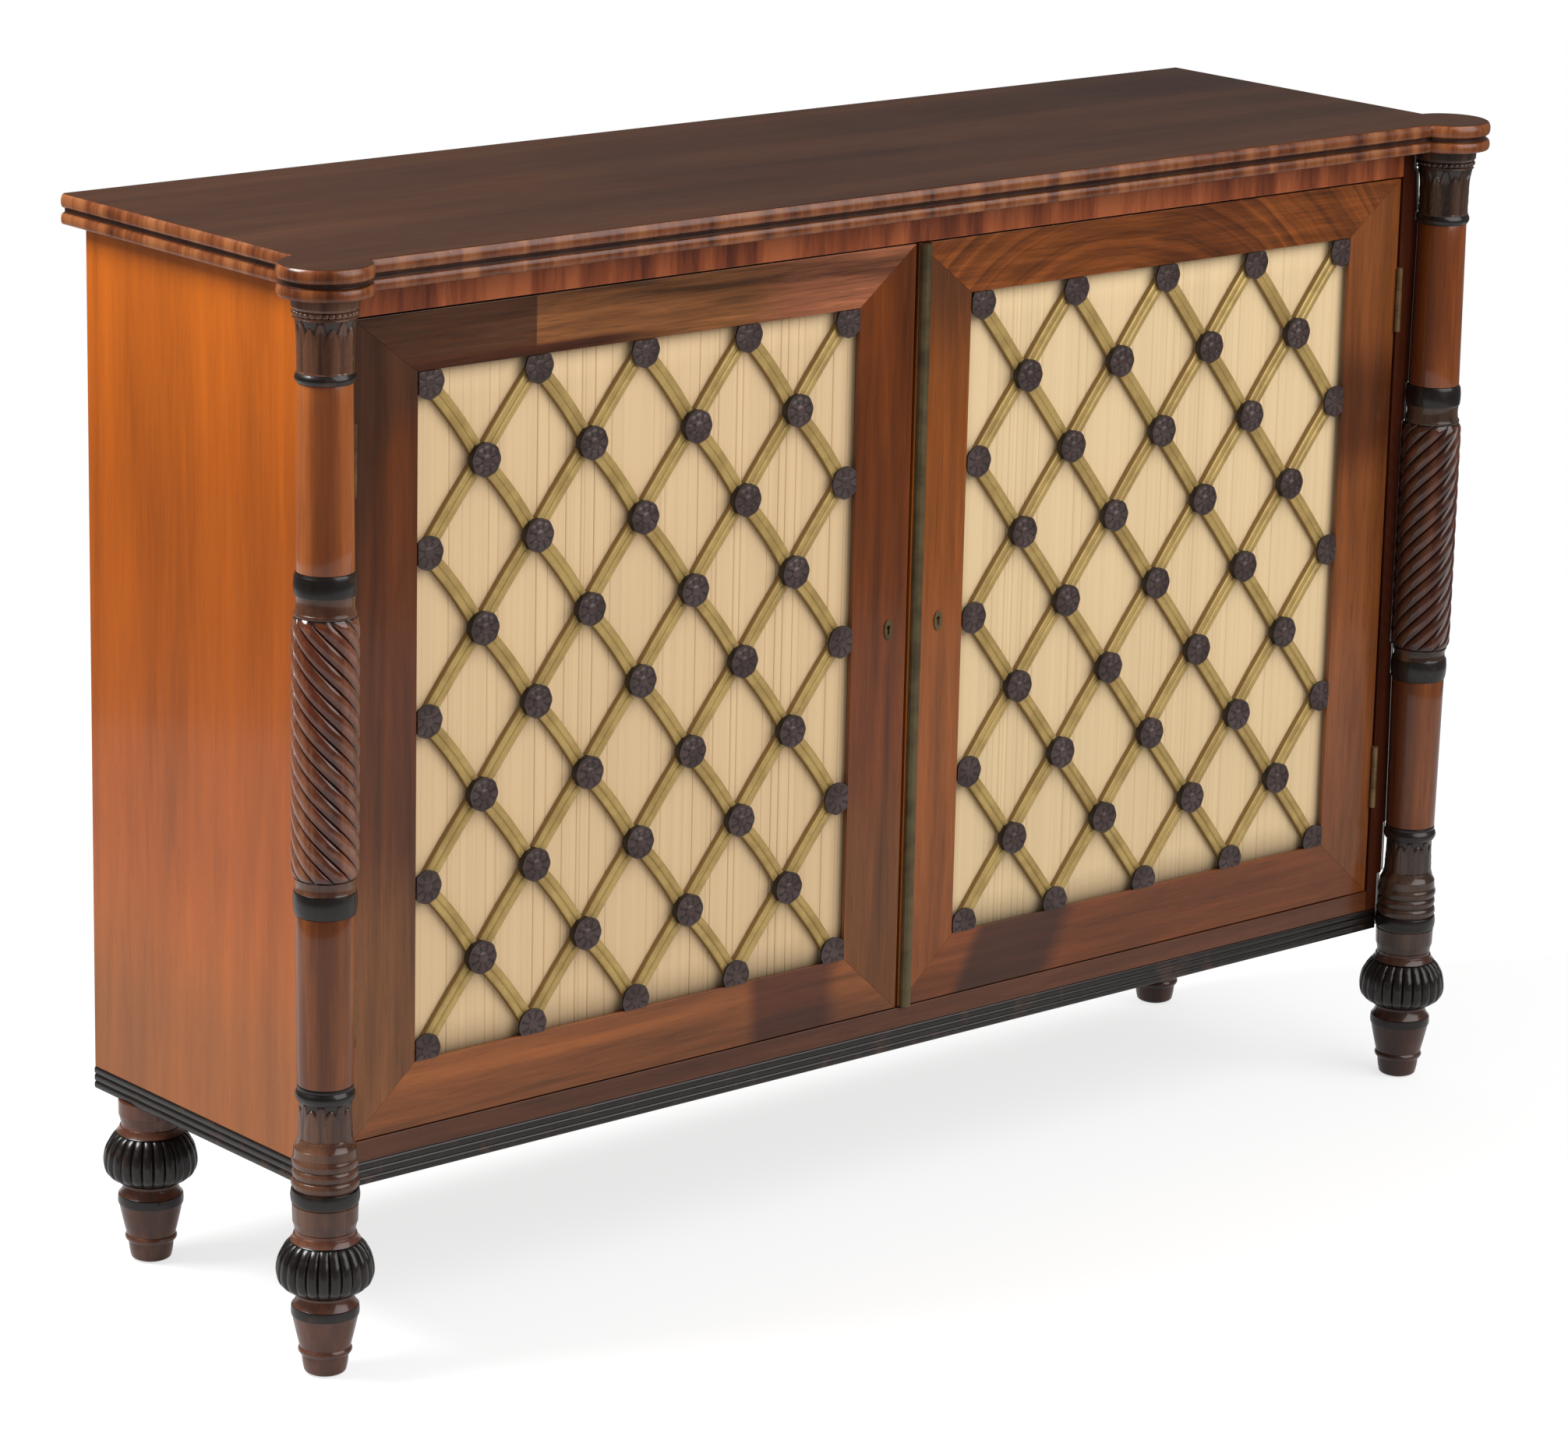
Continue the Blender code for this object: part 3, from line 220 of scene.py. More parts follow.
def polish(f, colour, figure, roughness, coat, strength, level):
    """French polish, smudged here and there, over a wood's streaks, lines and open pores."""
    streaks, lines, pores = figure
    smudge = f.noise(f.place(), 9.0, 3.0, 0.6)
    return f.done(
        Base_Color=colour,
        Roughness=roughness + (smudge - 0.5) * 0.16 + pores * 0.15,
        Normal=f.bump(streaks * 0.5 + lines * 0.3 - pores * 0.6, strength, 0.0002),
        Specular_IOR_Level=level,
        Coat_Weight=coat,
        Coat_Roughness=0.10,
    )


def polished_wood(
    name, tones, grain, band, roughness, coat, dirt_and_shade=None, crest_lightening=0.0, facing_shade=0.0, shaded_side=None
):
    """French-polished wood with its grain along an axis. Its bands are closer as band rises.

    A carved piece names the colour of the dirt and painted shade in its hollows, and how far its
    crests are lightened, by wear and as a painted highlight. A round piece has painted shade in its
    middle, where it faces the view, as much as facing_shade says. A column whose (x, y) is given
    has painted shade on its side towards the doors.
    """
    f = Finish(name)
    along = f.place(ALONG[grain])
    fine = f.place(FINE_ALONG[grain])
    broad = f.noise(along, band, 2.0, 0.5, 0.8)
    streaks = f.noise(along, 150.0, 4.0, 0.65, 0.3)
    lines = f.noise(fine, 520.0, 2.0, 0.6)
    cloud = f.noise(f.place(), 3.2, 2.0)
    pores = f.noise(fine, 1500.0, 1.0).between(0.60, 0.70)
    tone = broad * 0.62 + streaks * 0.24 + lines * 0.12 + (cloud - 0.5) * 0.3
    dark, middle, light = tones
    colour = f.ramp(tone, [(0.30, dark), (0.47, middle), (0.64, light)])
    colour = f.mix(pores * 0.35, colour, dark)
    if facing_shade:
        # Painted shade: the middle of a round piece, where it faces the view, is darkened.
        facing = f.node("ShaderNodeLayerWeight", {}, {"Blend": 0.5}, "Facing")
        colour = f.mix((1 - facing.between(0.02, 0.24)) * facing_shade, colour, dark)
    if shaded_side:
        # Painted shade on the right column's side towards the doors.
        x, y, _ = f.split(f.place())
        away = (x - shaded_side[0]) * AWAY_FROM_DOORS[0] + (y - shaded_side[1]) * AWAY_FROM_DOORS[1]
        colour = f.mix((1 - away.between(-0.014, 0.010)) * 0.7, colour, dark)
    if dirt_and_shade:
        # Dirt and painted shade in the hollows.
        hollow = f.hollow()
        colour = f.mix(hollow.between(0.25, 0.95) * 0.92, colour, dirt_and_shade)
        # The crests are lightened by wear and by a painted highlight.
        lightened_crests = (1 - hollow.between(0.0, 0.16)) * f.noise(f.place(), 60.0, 3.0).between(0.4, 0.75)
        colour = f.mix(lightened_crests * crest_lightening, colour, light)
    return polish(f, colour, (streaks, lines, pores), roughness, coat, 0.25, 0.32)


def column_woods(
    name, left, right, band, roughness, coat, dirt_and_shade=None, crest_lightening=0.0, facing_shade=0.0, shaded_side=None
):
    """A wood for each column, from the tones of the left one and of the right one.

    Only the left one has painted shade in its middle, and only the right one has painted shade on
    its side towards the doors.
    """
    same = ("z", band, roughness, coat, dirt_and_shade, crest_lightening)
    return {
        "left": polished_wood(f"{name}_left", left, *same, facing_shade=facing_shade),
        "right": polished_wood(f"{name}_right", right, *same, shaded_side=shaded_side),
    }


def veneer(name, grain, middle, patches=(), arch=None, bend=0.016, contrast=1.0):
    """Figured veneer. Each patch is a mask worked out from x and z, and the swatch that it shows.

    An arch is the (x, z) that the figure curves round, instead of running along the grain. The
    patches' edges stray by about bend metres.
    """
    f = Finish(name)
    x, _, z = f.split(f.place())
    stray = f.noise(f.place(), 13.0, 2.0) - 0.5
    x, z = x + stray * bend, z + stray * bend
    along, fine = f.place(ALONG[grain]), f.place(FINE_ALONG[grain])
    if arch:
        aside, above = (x - arch[0]) * 0.7, z - arch[1]
        broad = f.noise((aside * aside + above * above) ** 0.5, 75.0, 2.0, 0.6)
    else:
        broad = f.noise(along, 16.0, 2.0, 0.5, 1.8)
    streaks = f.noise(along, 120.0, 4.0, 0.6, 0.7)
    lines = f.noise(fine, 560.0, 2.0, 0.6)
    pores = f.noise(fine, 1500.0, 1.0).between(0.60, 0.70)
    tone = broad * 0.55 + streaks * 0.30 + lines * 0.15
    dark, light = 1 - 0.26 * contrast, 1 + 0.22 * contrast
    colour = f.ramp(tone, zip(VENEER_STOPS, shades(middle, dark, light)))
    for mask, swatch in patches:
        figured = f.ramp(tone, zip(VENEER_STOPS, shades(swatch, dark, light)))
        colour = f.mix(mask(x, z), colour, figured)
    colour = f.mix(pores * 0.3 * contrast, colour, srgb(44, 22, 12))
    return polish(f, colour, (streaks, lines, pores), 0.26, 0.35, 0.22, 0.3)


def crossbanding(name, tones, spread, blocks, dirt_and_shade=None):
    """Short veneers with their grain upright, set side by side."""
    f = Finish(name)
    pieces = f.noise(f.place(spread), blocks, 1.0, 0.5)
    streaks = f.noise(f.place((1, 1, 0.1)), 230.0, 3.0, 0.65)
    colour = f.ramp(pieces * 0.75 + streaks * 0.35, zip((0.38, 0.53, 0.68), tones))
    if dirt_and_shade:
        # Dirt and painted shade in the hollows, such as the quirk between the top edge's reeds.
        colour = f.mix(f.hollow().between(0.2, 0.9) * 0.9, colour, dirt_and_shade)
    return f.done(
        Base_Color=colour,
        Roughness=0.28 + (pieces - 0.5) * 0.12,
        Normal=f.bump(streaks, 0.2, 0.0002),
        Specular_IOR_Level=0.4,
        Coat_Weight=0.3,
        Coat_Roughness=0.2,
    )


def ebonised_wood():
    """Black-stained wood, rubbed brown on its crests, and darkest in its hollows, with dirt and
    painted shade.
    """
    f = Finish("ebonised")
    hollow = f.hollow()
    rub = f.noise(f.place(), 45.0, 4.0, 0.6)
    streaks = f.noise(f.place((1, 1, 0.2)), 260.0, 3.0)
    black = f.mix(streaks, srgb(17, 13, 11), srgb(36, 27, 22))
    crest_lightening = (1 - hollow.between(0.0, 0.25)) * rub.between(0.55, 0.72)
    colour = f.mix(crest_lightening * 0.45, black, srgb(88, 58, 42))
    # Dirt and painted shade in the hollows.
    colour = f.mix(hollow.between(0.6, 1.0) * 0.8, colour, srgb(14, 12, 11))
    return f.done(
        Base_Color=colour,
        Roughness=0.36 + (rub - 0.5) * 0.2,
        Normal=f.bump(streaks, 0.15, 0.0002),
        Specular_IOR_Level=0.35,
        Coat_Weight=0.5,
        Coat_Roughness=0.15,
    )


def metal(name, bright, dull, tarnish, roughness, level):
    """Old metal, bright where it is handled and tarnished in its hollows and in patches."""
    f = Finish(name)
    patches = f.noise(f.place(), 42.0, 4.0, 0.6)
    specks = f.noise(f.place(), 900.0, 2.0, 0.6)
    hollow = f.hollow()
    colour = f.mix(patches.between(0.35, 0.68), bright, dull)
    old = hollow.between(0.35, 0.9) * 0.9
    colour = f.mix(old, colour, tarnish)
    colour = f.mix(specks.between(0.58, 0.75) * 0.4, colour, tarnish)
    return f.done(
        Base_Color=colour,
        Metallic=level - old * 0.35,
        Roughness=roughness + (patches - 0.5) * 0.2 + old * 0.2,
        Normal=f.bump(specks, 0.2, 0.0001),
    )


def silk_cloth(name, middle, tucks):
    """Cream silk: fine cross threads, slub, and painted shade in its tucks, as dark as the number
    given.
    """
    f = Finish(name)
    threads = f.noise(f.place((1, 1, 0.015)), 2600.0, 2.0, 0.6)
    weft = f.noise(f.place((0.03, 1, 1)), 1900.0, 2.0, 0.6)
    stripes = f.noise(f.place((1, 0.0, 0.004)), 150.0, 3.0, 0.6)
    cloud = f.noise(f.place(), 4.0, 2.0)
    tone = stripes * 0.7 + cloud * 0.3
    colour = f.ramp(tone, zip((0.33, 0.5, 0.68), shades(middle, 0.965, 1.03)))
    # Painted shade in the tucks.
    colour = f.mix(f.hollow().between(0.15, 0.9) * tucks, colour, srgb(176, 138, 98))
    return f.done(
        Base_Color=colour,
        Roughness=0.62 + (stripes - 0.5) * 0.1,
        Normal=f.bump(threads * 0.6 + weft * 0.4, 0.2, 0.0003),
        Specular_IOR_Level=0.25,
        Sheen_Weight=0.2,
        Sheen_Roughness=0.4,
        Sheen_Tint=(1.0, 0.9, 0.7),
    )


def plain_wood(name, tones, grain):
    """Unpolished inside wood."""
    f = Finish(name)
    broad = f.noise(f.place(ALONG[grain]), 16.0, 3.0, 0.6, 0.8)
    streaks = f.noise(f.place(FINE_ALONG[grain]), 330.0, 4.0, 0.65)
    stain = f.noise(f.place(), 5.0, 3.0, 0.6)
    colour = f.ramp(broad * 0.6 + streaks * 0.4, zip((0.3, 0.5, 0.7), tones))
    colour = f.mix(stain.between(0.5, 0.8) * 0.35, colour, tones[0])
    return f.done(
        Base_Color=colour,
        Roughness=0.6 + (streaks - 0.5) * 0.2,
        Normal=f.bump(streaks, 0.35, 0.0004),
        Specular_IOR_Level=0.3,
    )


ROSEWOOD = (srgb(52, 28, 15), srgb(69, 40, 22), srgb(86, 52, 30))
EDGE_WOOD = (srgb(76, 38, 18), srgb(118, 64, 33), srgb(150, 92, 54))
FRIEZE = (srgb(101, 51, 35), srgb(150, 76, 43), srgb(184, 100, 58))
TURNED = (srgb(90, 44, 20), srgb(134, 70, 31), srgb(176, 98, 48))
LOWER_TURNED = (srgb(74, 37, 18), srgb(112, 60, 28), srgb(150, 86, 42))
# The right column's reeded, carved and foot tones are darker than the left's: painted shade.
REEDED_LEFT = (srgb(62, 28, 15), srgb(97, 48, 27), srgb(150, 100, 74))
REEDED_RIGHT_SHADED = (srgb(46, 20, 11), srgb(70, 33, 18), srgb(116, 70, 48))
CARVED_LEFT = (srgb(50, 29, 19), srgb(74, 44, 30), srgb(112, 76, 56))
CARVED_RIGHT_SHADED = (srgb(34, 23, 16), srgb(52, 35, 25), srgb(88, 66, 53))
FOOT_LEFT = (srgb(58, 34, 25), srgb(88, 52, 38), srgb(116, 74, 56))
FOOT_RIGHT_SHADED = (srgb(44, 25, 18), srgb(64, 37, 28), srgb(88, 57, 46))
INSIDE = (srgb(132, 92, 54), srgb(160, 116, 72), srgb(182, 140, 92))
# The colours of the dirt and painted shade in the hollows of reeds, carving and gadroons
REED_DIRT_AND_SHADE = srgb(36, 15, 8)
CARVED_DIRT_AND_SHADE = srgb(36, 22, 15)
FOOT_DIRT_AND_SHADE = (0.006, 0.004, 0.003)
RIGHT_COLUMN = (0.6153, -0.1578)  # its axis in plan

side_wood = veneer(
    "side_mahogany",
    "z",
    (183, 93, 24),
    [
        # Painted shade: a darker band across the middle.
        (lambda x, z: z.patch((0.26, 0.40), (0.66, 0.86)), (163, 81, 20)),
        # Painted shade and a painted reflection of the floor: the foot duller, less red and bluer.
        (lambda x, z: 1 - z.between(0.22, 0.36), (157, 88, 35)),
    ],
    contrast=0.45,
)
top_wood = polished_wood("top_rosewood", ROSEWOOD, "x", 9.0, 0.36, 0.18)
shaft_woods = column_woods(
    "turned_rosewood", TURNED, TURNED, 26.0, 0.26, 0.6, facing_shade=0.6, shaded_side=RIGHT_COLUMN
)
lower_shaft_woods = column_woods(
    "lower_shaft", LOWER_TURNED, LOWER_TURNED, 26.0, 0.28, 0.5, facing_shade=0.35, shaded_side=RIGHT_COLUMN
)
reeded_woods = column_woods(
    "reeded_rosewood",
    REEDED_LEFT,
    REEDED_RIGHT_SHADED,
    band=30.0,
    roughness=0.2,
    coat=0.9,
    dirt_and_shade=REED_DIRT_AND_SHADE,
    crest_lightening=0.5,
    shaded_side=RIGHT_COLUMN,
)
carved_woods = column_woods(
    "carved_rosewood", CARVED_LEFT, CARVED_RIGHT_SHADED, 30.0, 0.28, 0.7, CARVED_DIRT_AND_SHADE, 0.4
)
foot_woods = column_woods(
    "foot_rosewood", FOOT_LEFT, FOOT_RIGHT_SHADED, 30.0, 0.28, 0.6, FOOT_DIRT_AND_SHADE, 0.45
)
# The top's edge: its quirk darkened with dirt and painted shade.
edge_wood = crossbanding("top_edge", EDGE_WOOD, (1, 1, 0.05), 46.0, srgb(40, 18, 9))
frieze_wood = crossbanding("frieze_crossbanding", FRIEZE, (1, 0.05, 0.05), 38.0)
rail_wood = veneer("bottom_board_veneer", "x", (98, 56, 34))
# The posts' veneer is darker than any door's: painted shade between the columns and the doors.
shaded_post_wood = veneer("post_veneer_shaded", "z", (72, 36, 24))
# A patch is (mask, swatch)
DOOR_VENEERS = {
    "hinge_stile_left": {
        "middle": (96, 51, 25),
        "patches": [
            # Paler towards the foot: figure of the veneer, with a painted reflection of the floor.
            (lambda x, z: 1 - z.between(0.34, 0.44), (122, 76, 43)),
            (lambda x, z: (z - 0.62 - (x + 0.577) * 4.4).between(-0.06, 0.05), (74, 44, 27)),
            (lambda x, z: z.between(0.735, 0.785), (78, 48, 32)),
        ],
    },
    "meeting_stile_left": {
        "middle": (112, 57, 22),
        "patches": [(lambda x, z: 1 - z.between(0.30, 0.42), (114, 67, 31))],
    },
    "top_rail_left": {
        "middle": (142, 90, 54),
        "patches": [
            (lambda x, z: 1 - x.between(-0.400, -0.398), (90, 57, 38)),
            (lambda x, z: x.between(-0.19, -0.13), (155, 94, 66)),
            (
                lambda x, z: (1 - z.between(0.806, 0.812)) * (1 - x.between(-0.34, -0.26)),
                (78, 44, 28),
            ),
        ],
        "bend": 0.0,
        "contrast": 1.8,
    },
    "bottom_rail_left": {
        "middle": (139, 80, 41),
        "patches": [(lambda x, z: x.patch((-0.175, -0.155), (-0.085, -0.06)), (92, 48, 27))],
    },
    "hinge_stile_right": {
        "middle": (129, 74, 39),
        "patches": [(lambda x, z: z.patch((0.57, 0.62), (0.66, 0.72)), (92, 50, 27))],
    },
    "meeting_stile_right": {
        "middle": (137, 76, 34),
        "patches": [(lambda x, z: z.between(0.72, 0.82), (94, 56, 34))],
    },
    "top_rail_right": {
        "middle": (121, 66, 31),
        "patches": [(lambda x, z: x.patch((0.26, 0.30), (0.36, 0.42)), (105, 56, 27))],
        "arch": (0.232, 0.71),
        "contrast": 1.6,
    },
    "bottom_rail_right": {
        "middle": (123, 65, 29),
        "patches": [
            (lambda x, z: (x - z * 0.5).patch((-0.035, -0.015), (0.07, 0.10)), (76, 42, 25)),
        ],
    },
}


def grain_of(name):
    """The axis that a rail or a stile of a door runs along."""
    return "x" if "rail" in name else "z"


door_woods = {
    name: veneer(f"{name}_veneer", grain_of(name), **recipe)
    for name, recipe in DOOR_VENEERS.items()
}
ebonised = ebonised_wood()
inside_wood = plain_wood("inside_wood", INSIDE, "x")
brass = metal("brass", srgb(206, 174, 108), srgb(180, 149, 90), srgb(132, 102, 56), 0.38, 0.4)
dark_brass = metal("dark_brass", srgb(104, 90, 60), srgb(80, 67, 45), srgb(46, 38, 26), 0.4, 0.3)
hinge_brass = metal("hinge_brass", srgb(128, 100, 68), srgb(92, 68, 44), srgb(40, 27, 18), 0.4, 0.4)
bronze = metal("bronze", srgb(92, 76, 74), srgb(70, 55, 52), srgb(30, 21, 17), 0.36, 0.3)
silks = {
    # The left door's tucks carry more painted shade than the right's.
    "left": silk_cloth("silk_left_door", (234, 201, 156), 0.85),
    "right": silk_cloth("silk_right_door", (238, 208, 162), 0.35),
}


# Making pieces


def mesh_from(bm, name):
    """A mesh made from a bmesh, which is given up."""
    mesh = bpy.data.meshes.new(name)
    bm.to_mesh(mesh)
    bm.free()
    return mesh


def added(name, data):
    """A new object of the scene, from its mesh, lamp or camera."""
    item = bpy.data.objects.new(name, data)
    bpy.context.scene.collection.objects.link(item)
    return item


def shown(name, bm, finishes, body, nodes=(), crease=35):
    """A finished piece from a bmesh, which rides on a body and stands for the solids named.

    It looks smooth across edges that turn by less than crease degrees.
    """
    mesh = mesh_from(bm, name)
    for finish in finishes:
        mesh.materials.append(finish)
    mesh.shade_smooth()
    mesh.set_sharp_from_angle(angle=math.radians(crease))
    piece = added(name, mesh)
    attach(piece, body)
    if nodes:
        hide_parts(*nodes)
    return piece


def moulding(*runs):
    """A turned profile of (radius, height) in metres, foot to head, closed on the axis.

    A run is (low radius, high radius, height, bulge) in mm: a bead bulges out, and a cove in.
    """
    points = [(0.0, 0.0)]
    foot = 0.0
    for low, high, height, bulge in runs:
        steps = 10 if bulge else 1
        for i in range(steps + 1):
            share = i / steps
            radius = low + (high - low) * share + bulge * math.sin(math.pi * share)
            point = (radius * MM, (foot + height * share) * MM)
            if math.dist(point, points[-1]) > MERGE:
                points.append(point)
        foot += height
    return points + [(0.0, foot * MM)]


def eased(profile):
    """The profile with its corners rounded off, apart from those blunter than 155 degrees."""
    points = [profile[0]]
    for before, here, after in zip(profile, profile[1:], profile[2:]):
        back = Vector(before) - Vector(here)
        on = Vector(after) - Vector(here)
        if back.angle(on) > math.radians(155):
            points.append(here)
            continue
        start = Vector(here) + back.normalized() * min(EASE, back.length * 0.45)
        end = Vector(here) + on.normalized() * min(EASE, on.length * 0.45)
        points += [tuple(start), tuple((start + end) / 4 + Vector(here) / 2), tuple(end)]
    return points + [profile[-1]]


def divided(profile, pitch):
    """The profile with no stretch longer than pitch, apart from those that end on the axis."""
    points = [profile[0]]
    for here, after in zip(profile, profile[1:]):
        steps = 1
        if min(here[0], after[0]) > 0:
            steps = max(1, math.ceil(math.dist(here, after) / pitch))
        for i in range(1, steps + 1):
            points.append(tuple(Vector(here).lerp(Vector(after), i / steps)))
    return points


def turned(profile, steps=72):
    """The profile spun about Z, as a bmesh with its foot on Z = 0."""
    bm = bmesh.new()
    line = [bm.verts.new((radius, 0, height)) for radius, height in profile]
    for one, other in zip(line, line[1:]):
        bm.edges.new((one, other))
    geometry = bm.verts[:] + bm.edges[:]
    bmesh.ops.spin(
        bm,
        geom=geometry,
        axis=(0, 0, 1),
        cent=(0, 0, 0),
        steps=steps,
        angle=math.tau,
        use_merge=True,
    )
    bmesh.ops.remove_doubles(bm, verts=bm.verts, dist=MERGE)
    bmesh.ops.recalc_face_normals(bm, faces=bm.faces)
    return bm


def carve(bm, relief, deepest):
    """Cuts each point towards the axis by relief(angle, height), and notes how deep it lies.

    The middles of its two ends, within 2 mm of the axis, are left alone.
    """
    layer = bm.verts.layers.float.new(HOLLOW_LAYER)
    for vert in bm.verts:
        radius = math.hypot(vert.co.x, vert.co.y)
        if radius < 0.002:
            continue
        cut = relief(math.atan2(vert.co.y, vert.co.x) % math.tau, vert.co.z)
        scale = (radius - cut) / radius
        vert.co.x *= scale
        vert.co.y *= scale
        vert[layer] = min(1.0, max(0.0, cut / deepest))


def twist(bm, per_metre):
    """Turns each ring of the piece about Z by its height."""
    for vert in bm.verts:
        vert.co = Matrix.Rotation(vert.co.z * per_metre, 3, "Z") @ vert.co


def move(bm, place):
    bmesh.ops.translate(bm, vec=place, verts=bm.verts)


def bands(bm, ranges):
    """Gives the faces between two heights, in mm, the second of a piece's finishes."""
    for face in bm.faces:
        height = face.calc_center_median().z
        if any(low * MM <= height <= high * MM for low, high in ranges):
            face.material_index = 1


def pushed(bm, face, by):
    """Extrudes a face by a vector, and gives the new one."""
    result = bmesh.ops.extrude_face_region(bm, geom=[face])
    verts = [g for g in result["geom"] if isinstance(g, bmesh.types.BMVert)]
    bmesh.ops.translate(bm, vec=by, verts=verts)
    return next(g for g in result["geom"] if isinstance(g, bmesh.types.BMFace))


def on_axis(node):
    """The middle of a node in plan, at its foot."""
    low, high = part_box(node)
    return ((low.x + high.x) / 2, (low.y + high.y) / 2, low.z)


def reeds(count, depth, low, high, end):
    """Round reeds side by side, which die away in rounded ends."""

    def relief(angle, height):
        if height <= low or height >= high:
            return depth
        across = 2 * ((angle * count / math.tau) % 1.0) - 1
        near_end = min(1.0, (min(height - low, high - height)) / end)
        full = math.sqrt(1 - (1 - near_end) ** 2)
        return depth * (1 - full * math.sqrt(max(0.0, 1 - across * across)))

    return relief


# As shares of a leaf's width, of the tallest leaf and of the relief: (shift, height, how far sunk)
LEAF_ROWS = ((0.5, 1.0, 0.45), (0.0, 0.86, 0.0))


def leaves(count, low, high, depth):
    """Two rows of pointed leaves with a rib down the middle, one row between the other's leaves."""

    def relief(angle, height):
        share = (height - low) / (high - low)
        if not 0 <= share <= 1:
            return 0.0
        surface = depth
        for shift, tip, sunk in LEAF_ROWS:
            if share > tip:
                continue
            along = share / tip
            belly = 0.80 + 0.2 * math.sin(math.pi * min(1, along * 1.3))
            half = 0.46 * (1 - along**3.2) ** 0.55 * belly
            across = abs(((angle * count / math.tau + shift) % 1.0) - 0.5)
            if half <= 0.01 or across > half:
                continue
            edge = across / half
            crown = math.sqrt(max(0.0, 1 - edge**4))
            rib = 0.35 * max(0.0, 1 - across / 0.06)
            vein = 0.12 * math.sin(26 * (along + edge * 0.35))
            lift = crown * (1 - sunk) * (0.86 + vein * edge) - rib * 0.6
            surface = min(surface, depth * (1 - lift))
        return surface

    return relief


def within(low, high, relief):
    """The relief between two heights, and none elsewhere."""
    return lambda angle, height: relief(angle, height) if low < height < high else 0.0


# The columns

REED_COUNT = 10
REED_LEAD = 0.158  # the height in which a reed goes once round
REED_DEPTH = 0.0030
REEDED_RADIUS = 27.0  # in mm
GADROON_COUNT = 24
GADROON_DEPTH = 0.0030
GADROONS = (0.070, 0.113)  # their foot and head
LEAF_COUNT = 8
BEAD_COUNT = 30
# Profiles in runs, from foot to head, and heights in mm between which a piece has its second finish
PEG = (
    (11.9, 17.0, 3.5, 1.3), (17.0, 18.9, 14.0, 0.4), (20.2, 20.4, 6.0, 1.5),
    (20.6, 26.6, 27.0, 0.2), (27.2, 27.0, 8.0, 0.35), (26.6, 22.6, 8.0, -0.5),
    (22.6, 23.0, 2.5, 0),
)
BULB = (
    (24.0, 32.5, 4.0, 1.4), (32.5, 37.6, 6.0, 0.6), (37.6, 39.4, 7.0, 0.3),
    (39.4, 38.6, 9.0, 0.3), (38.6, 34.8, 9.5, 0.6), (34.8, 29.6, 8.5, 0.5),
    (28.6, 25.4, 6.0, -0.5), (24.4, 24.4, 3.0, 0),
)
FOOT_BANDS = ((50.4, 58.7), (69.5, 113.5))
BACK_COLLAR = ((24.4, 26.2, 7.0, 0), (26.4, 26.5, 12.7, 0))
BASE = (
    (24.4, 26.1, 7, -0.3), (26.1, 26.5, 14.5, 0), (25.6, 25.6, 1.5, 0),
    (27.0, 27.0, 11.5, 0.8), (25.2, 25.2, 1.0, 0), (26.0, 26.0, 8.0, 1.3),
    (24.8, 24.8, 1.0, 0), (25.4, 25.4, 8.0, 1.3), (24.8, 24.8, 1.0, 0),
    (25.8, 25.8, 8.0, 1.2), (25.8, 25.3, 7.5, 0), (25.2, 22.4, 7.0, -0.4),
    (22.3, 21.5, 32, -0.2), (22.0, 22.0, 10, 2.1), (22.7, 22.5, 3, 0),
)
BASE_BANDS = ((23.0, 34.6), (108.0, 121.5))
LOWER_SHAFT = ((22.4, 23.8, 140, 0),)
LOWER_RING = ((24.2, 24.4, 2.0, 0), (24.8, 24.8, 17.0, 0.7), (24.2, 24.8, 10.5, -1.2))
LOWER_RING_BANDS = ((19.2, 30.0),)
UPPER_RING = (
    (24.6, 24.4, 3.0, 0.4),
    (23.7, 23.7, 13.5, -0.6),
    (24.4, 24.4, 16.0, 0.6),
    (23.8, 23.3, 2.0, 0),
)
UPPER_RING_BANDS = ((0.0, 16.4),)
UPPER_SHAFT = ((22.9, 21.6, 147.8, 0),)
CAPITAL = (
    (22.4, 22.4, 8, 1.6), (22.6, 22.9, 24, -0.2), (22.9, 25.6, 18.6, -0.6),
    (24.4, 24.4, 1.4, 0), (24.9, 24.9, 5, 1.6), (25.4, 26.6, 2.0, 0),
    (26.8, 27.2, 8.3, 0),
)
CAPITAL_BANDS = ((0.0, 8.2),)


def stand(name, bm, finishes, how="carved"):
    """Shows a turned piece of a column or foot on the axis of its solid."""
    move(bm, on_axis(name))
    shown(f"{name}_{how}", bm, finishes, "cabinet", [name])


def make_foot(name, side, collar):
    bm = turned(divided(eased(moulding(*PEG, *BULB, *collar)), 0.0014), GADROON_COUNT * 8)
    gadroons = reeds(GADROON_COUNT, GADROON_DEPTH, *GADROONS, 0.010)
    carve(bm, within(*GADROONS, gadroons), GADROON_DEPTH)
    bands(bm, FOOT_BANDS)
    stand(name, bm, [foot_woods[side], ebonised])


def make_shafts(side):
    for name, profile, wood in (
        (f"lower_shaft_{side}", LOWER_SHAFT, lower_shaft_woods[side]),
        (f"upper_shaft_{side}", UPPER_SHAFT, shaft_woods[side]),
    ):
        stand(name, turned(divided(eased(moulding(*profile)), 0.02)), [wood], how="turned")


def make_rings(side):
    for name, profile, brown in (
        (f"lower_ring_{side}", LOWER_RING, LOWER_RING_BANDS),
        (f"upper_ring_{side}", UPPER_RING, UPPER_RING_BANDS),
    ):
        bm = turned(eased(moulding(*profile)), 96)
        bands(bm, brown)
        stand(name, bm, [ebonised, carved_woods[side]], "turned")


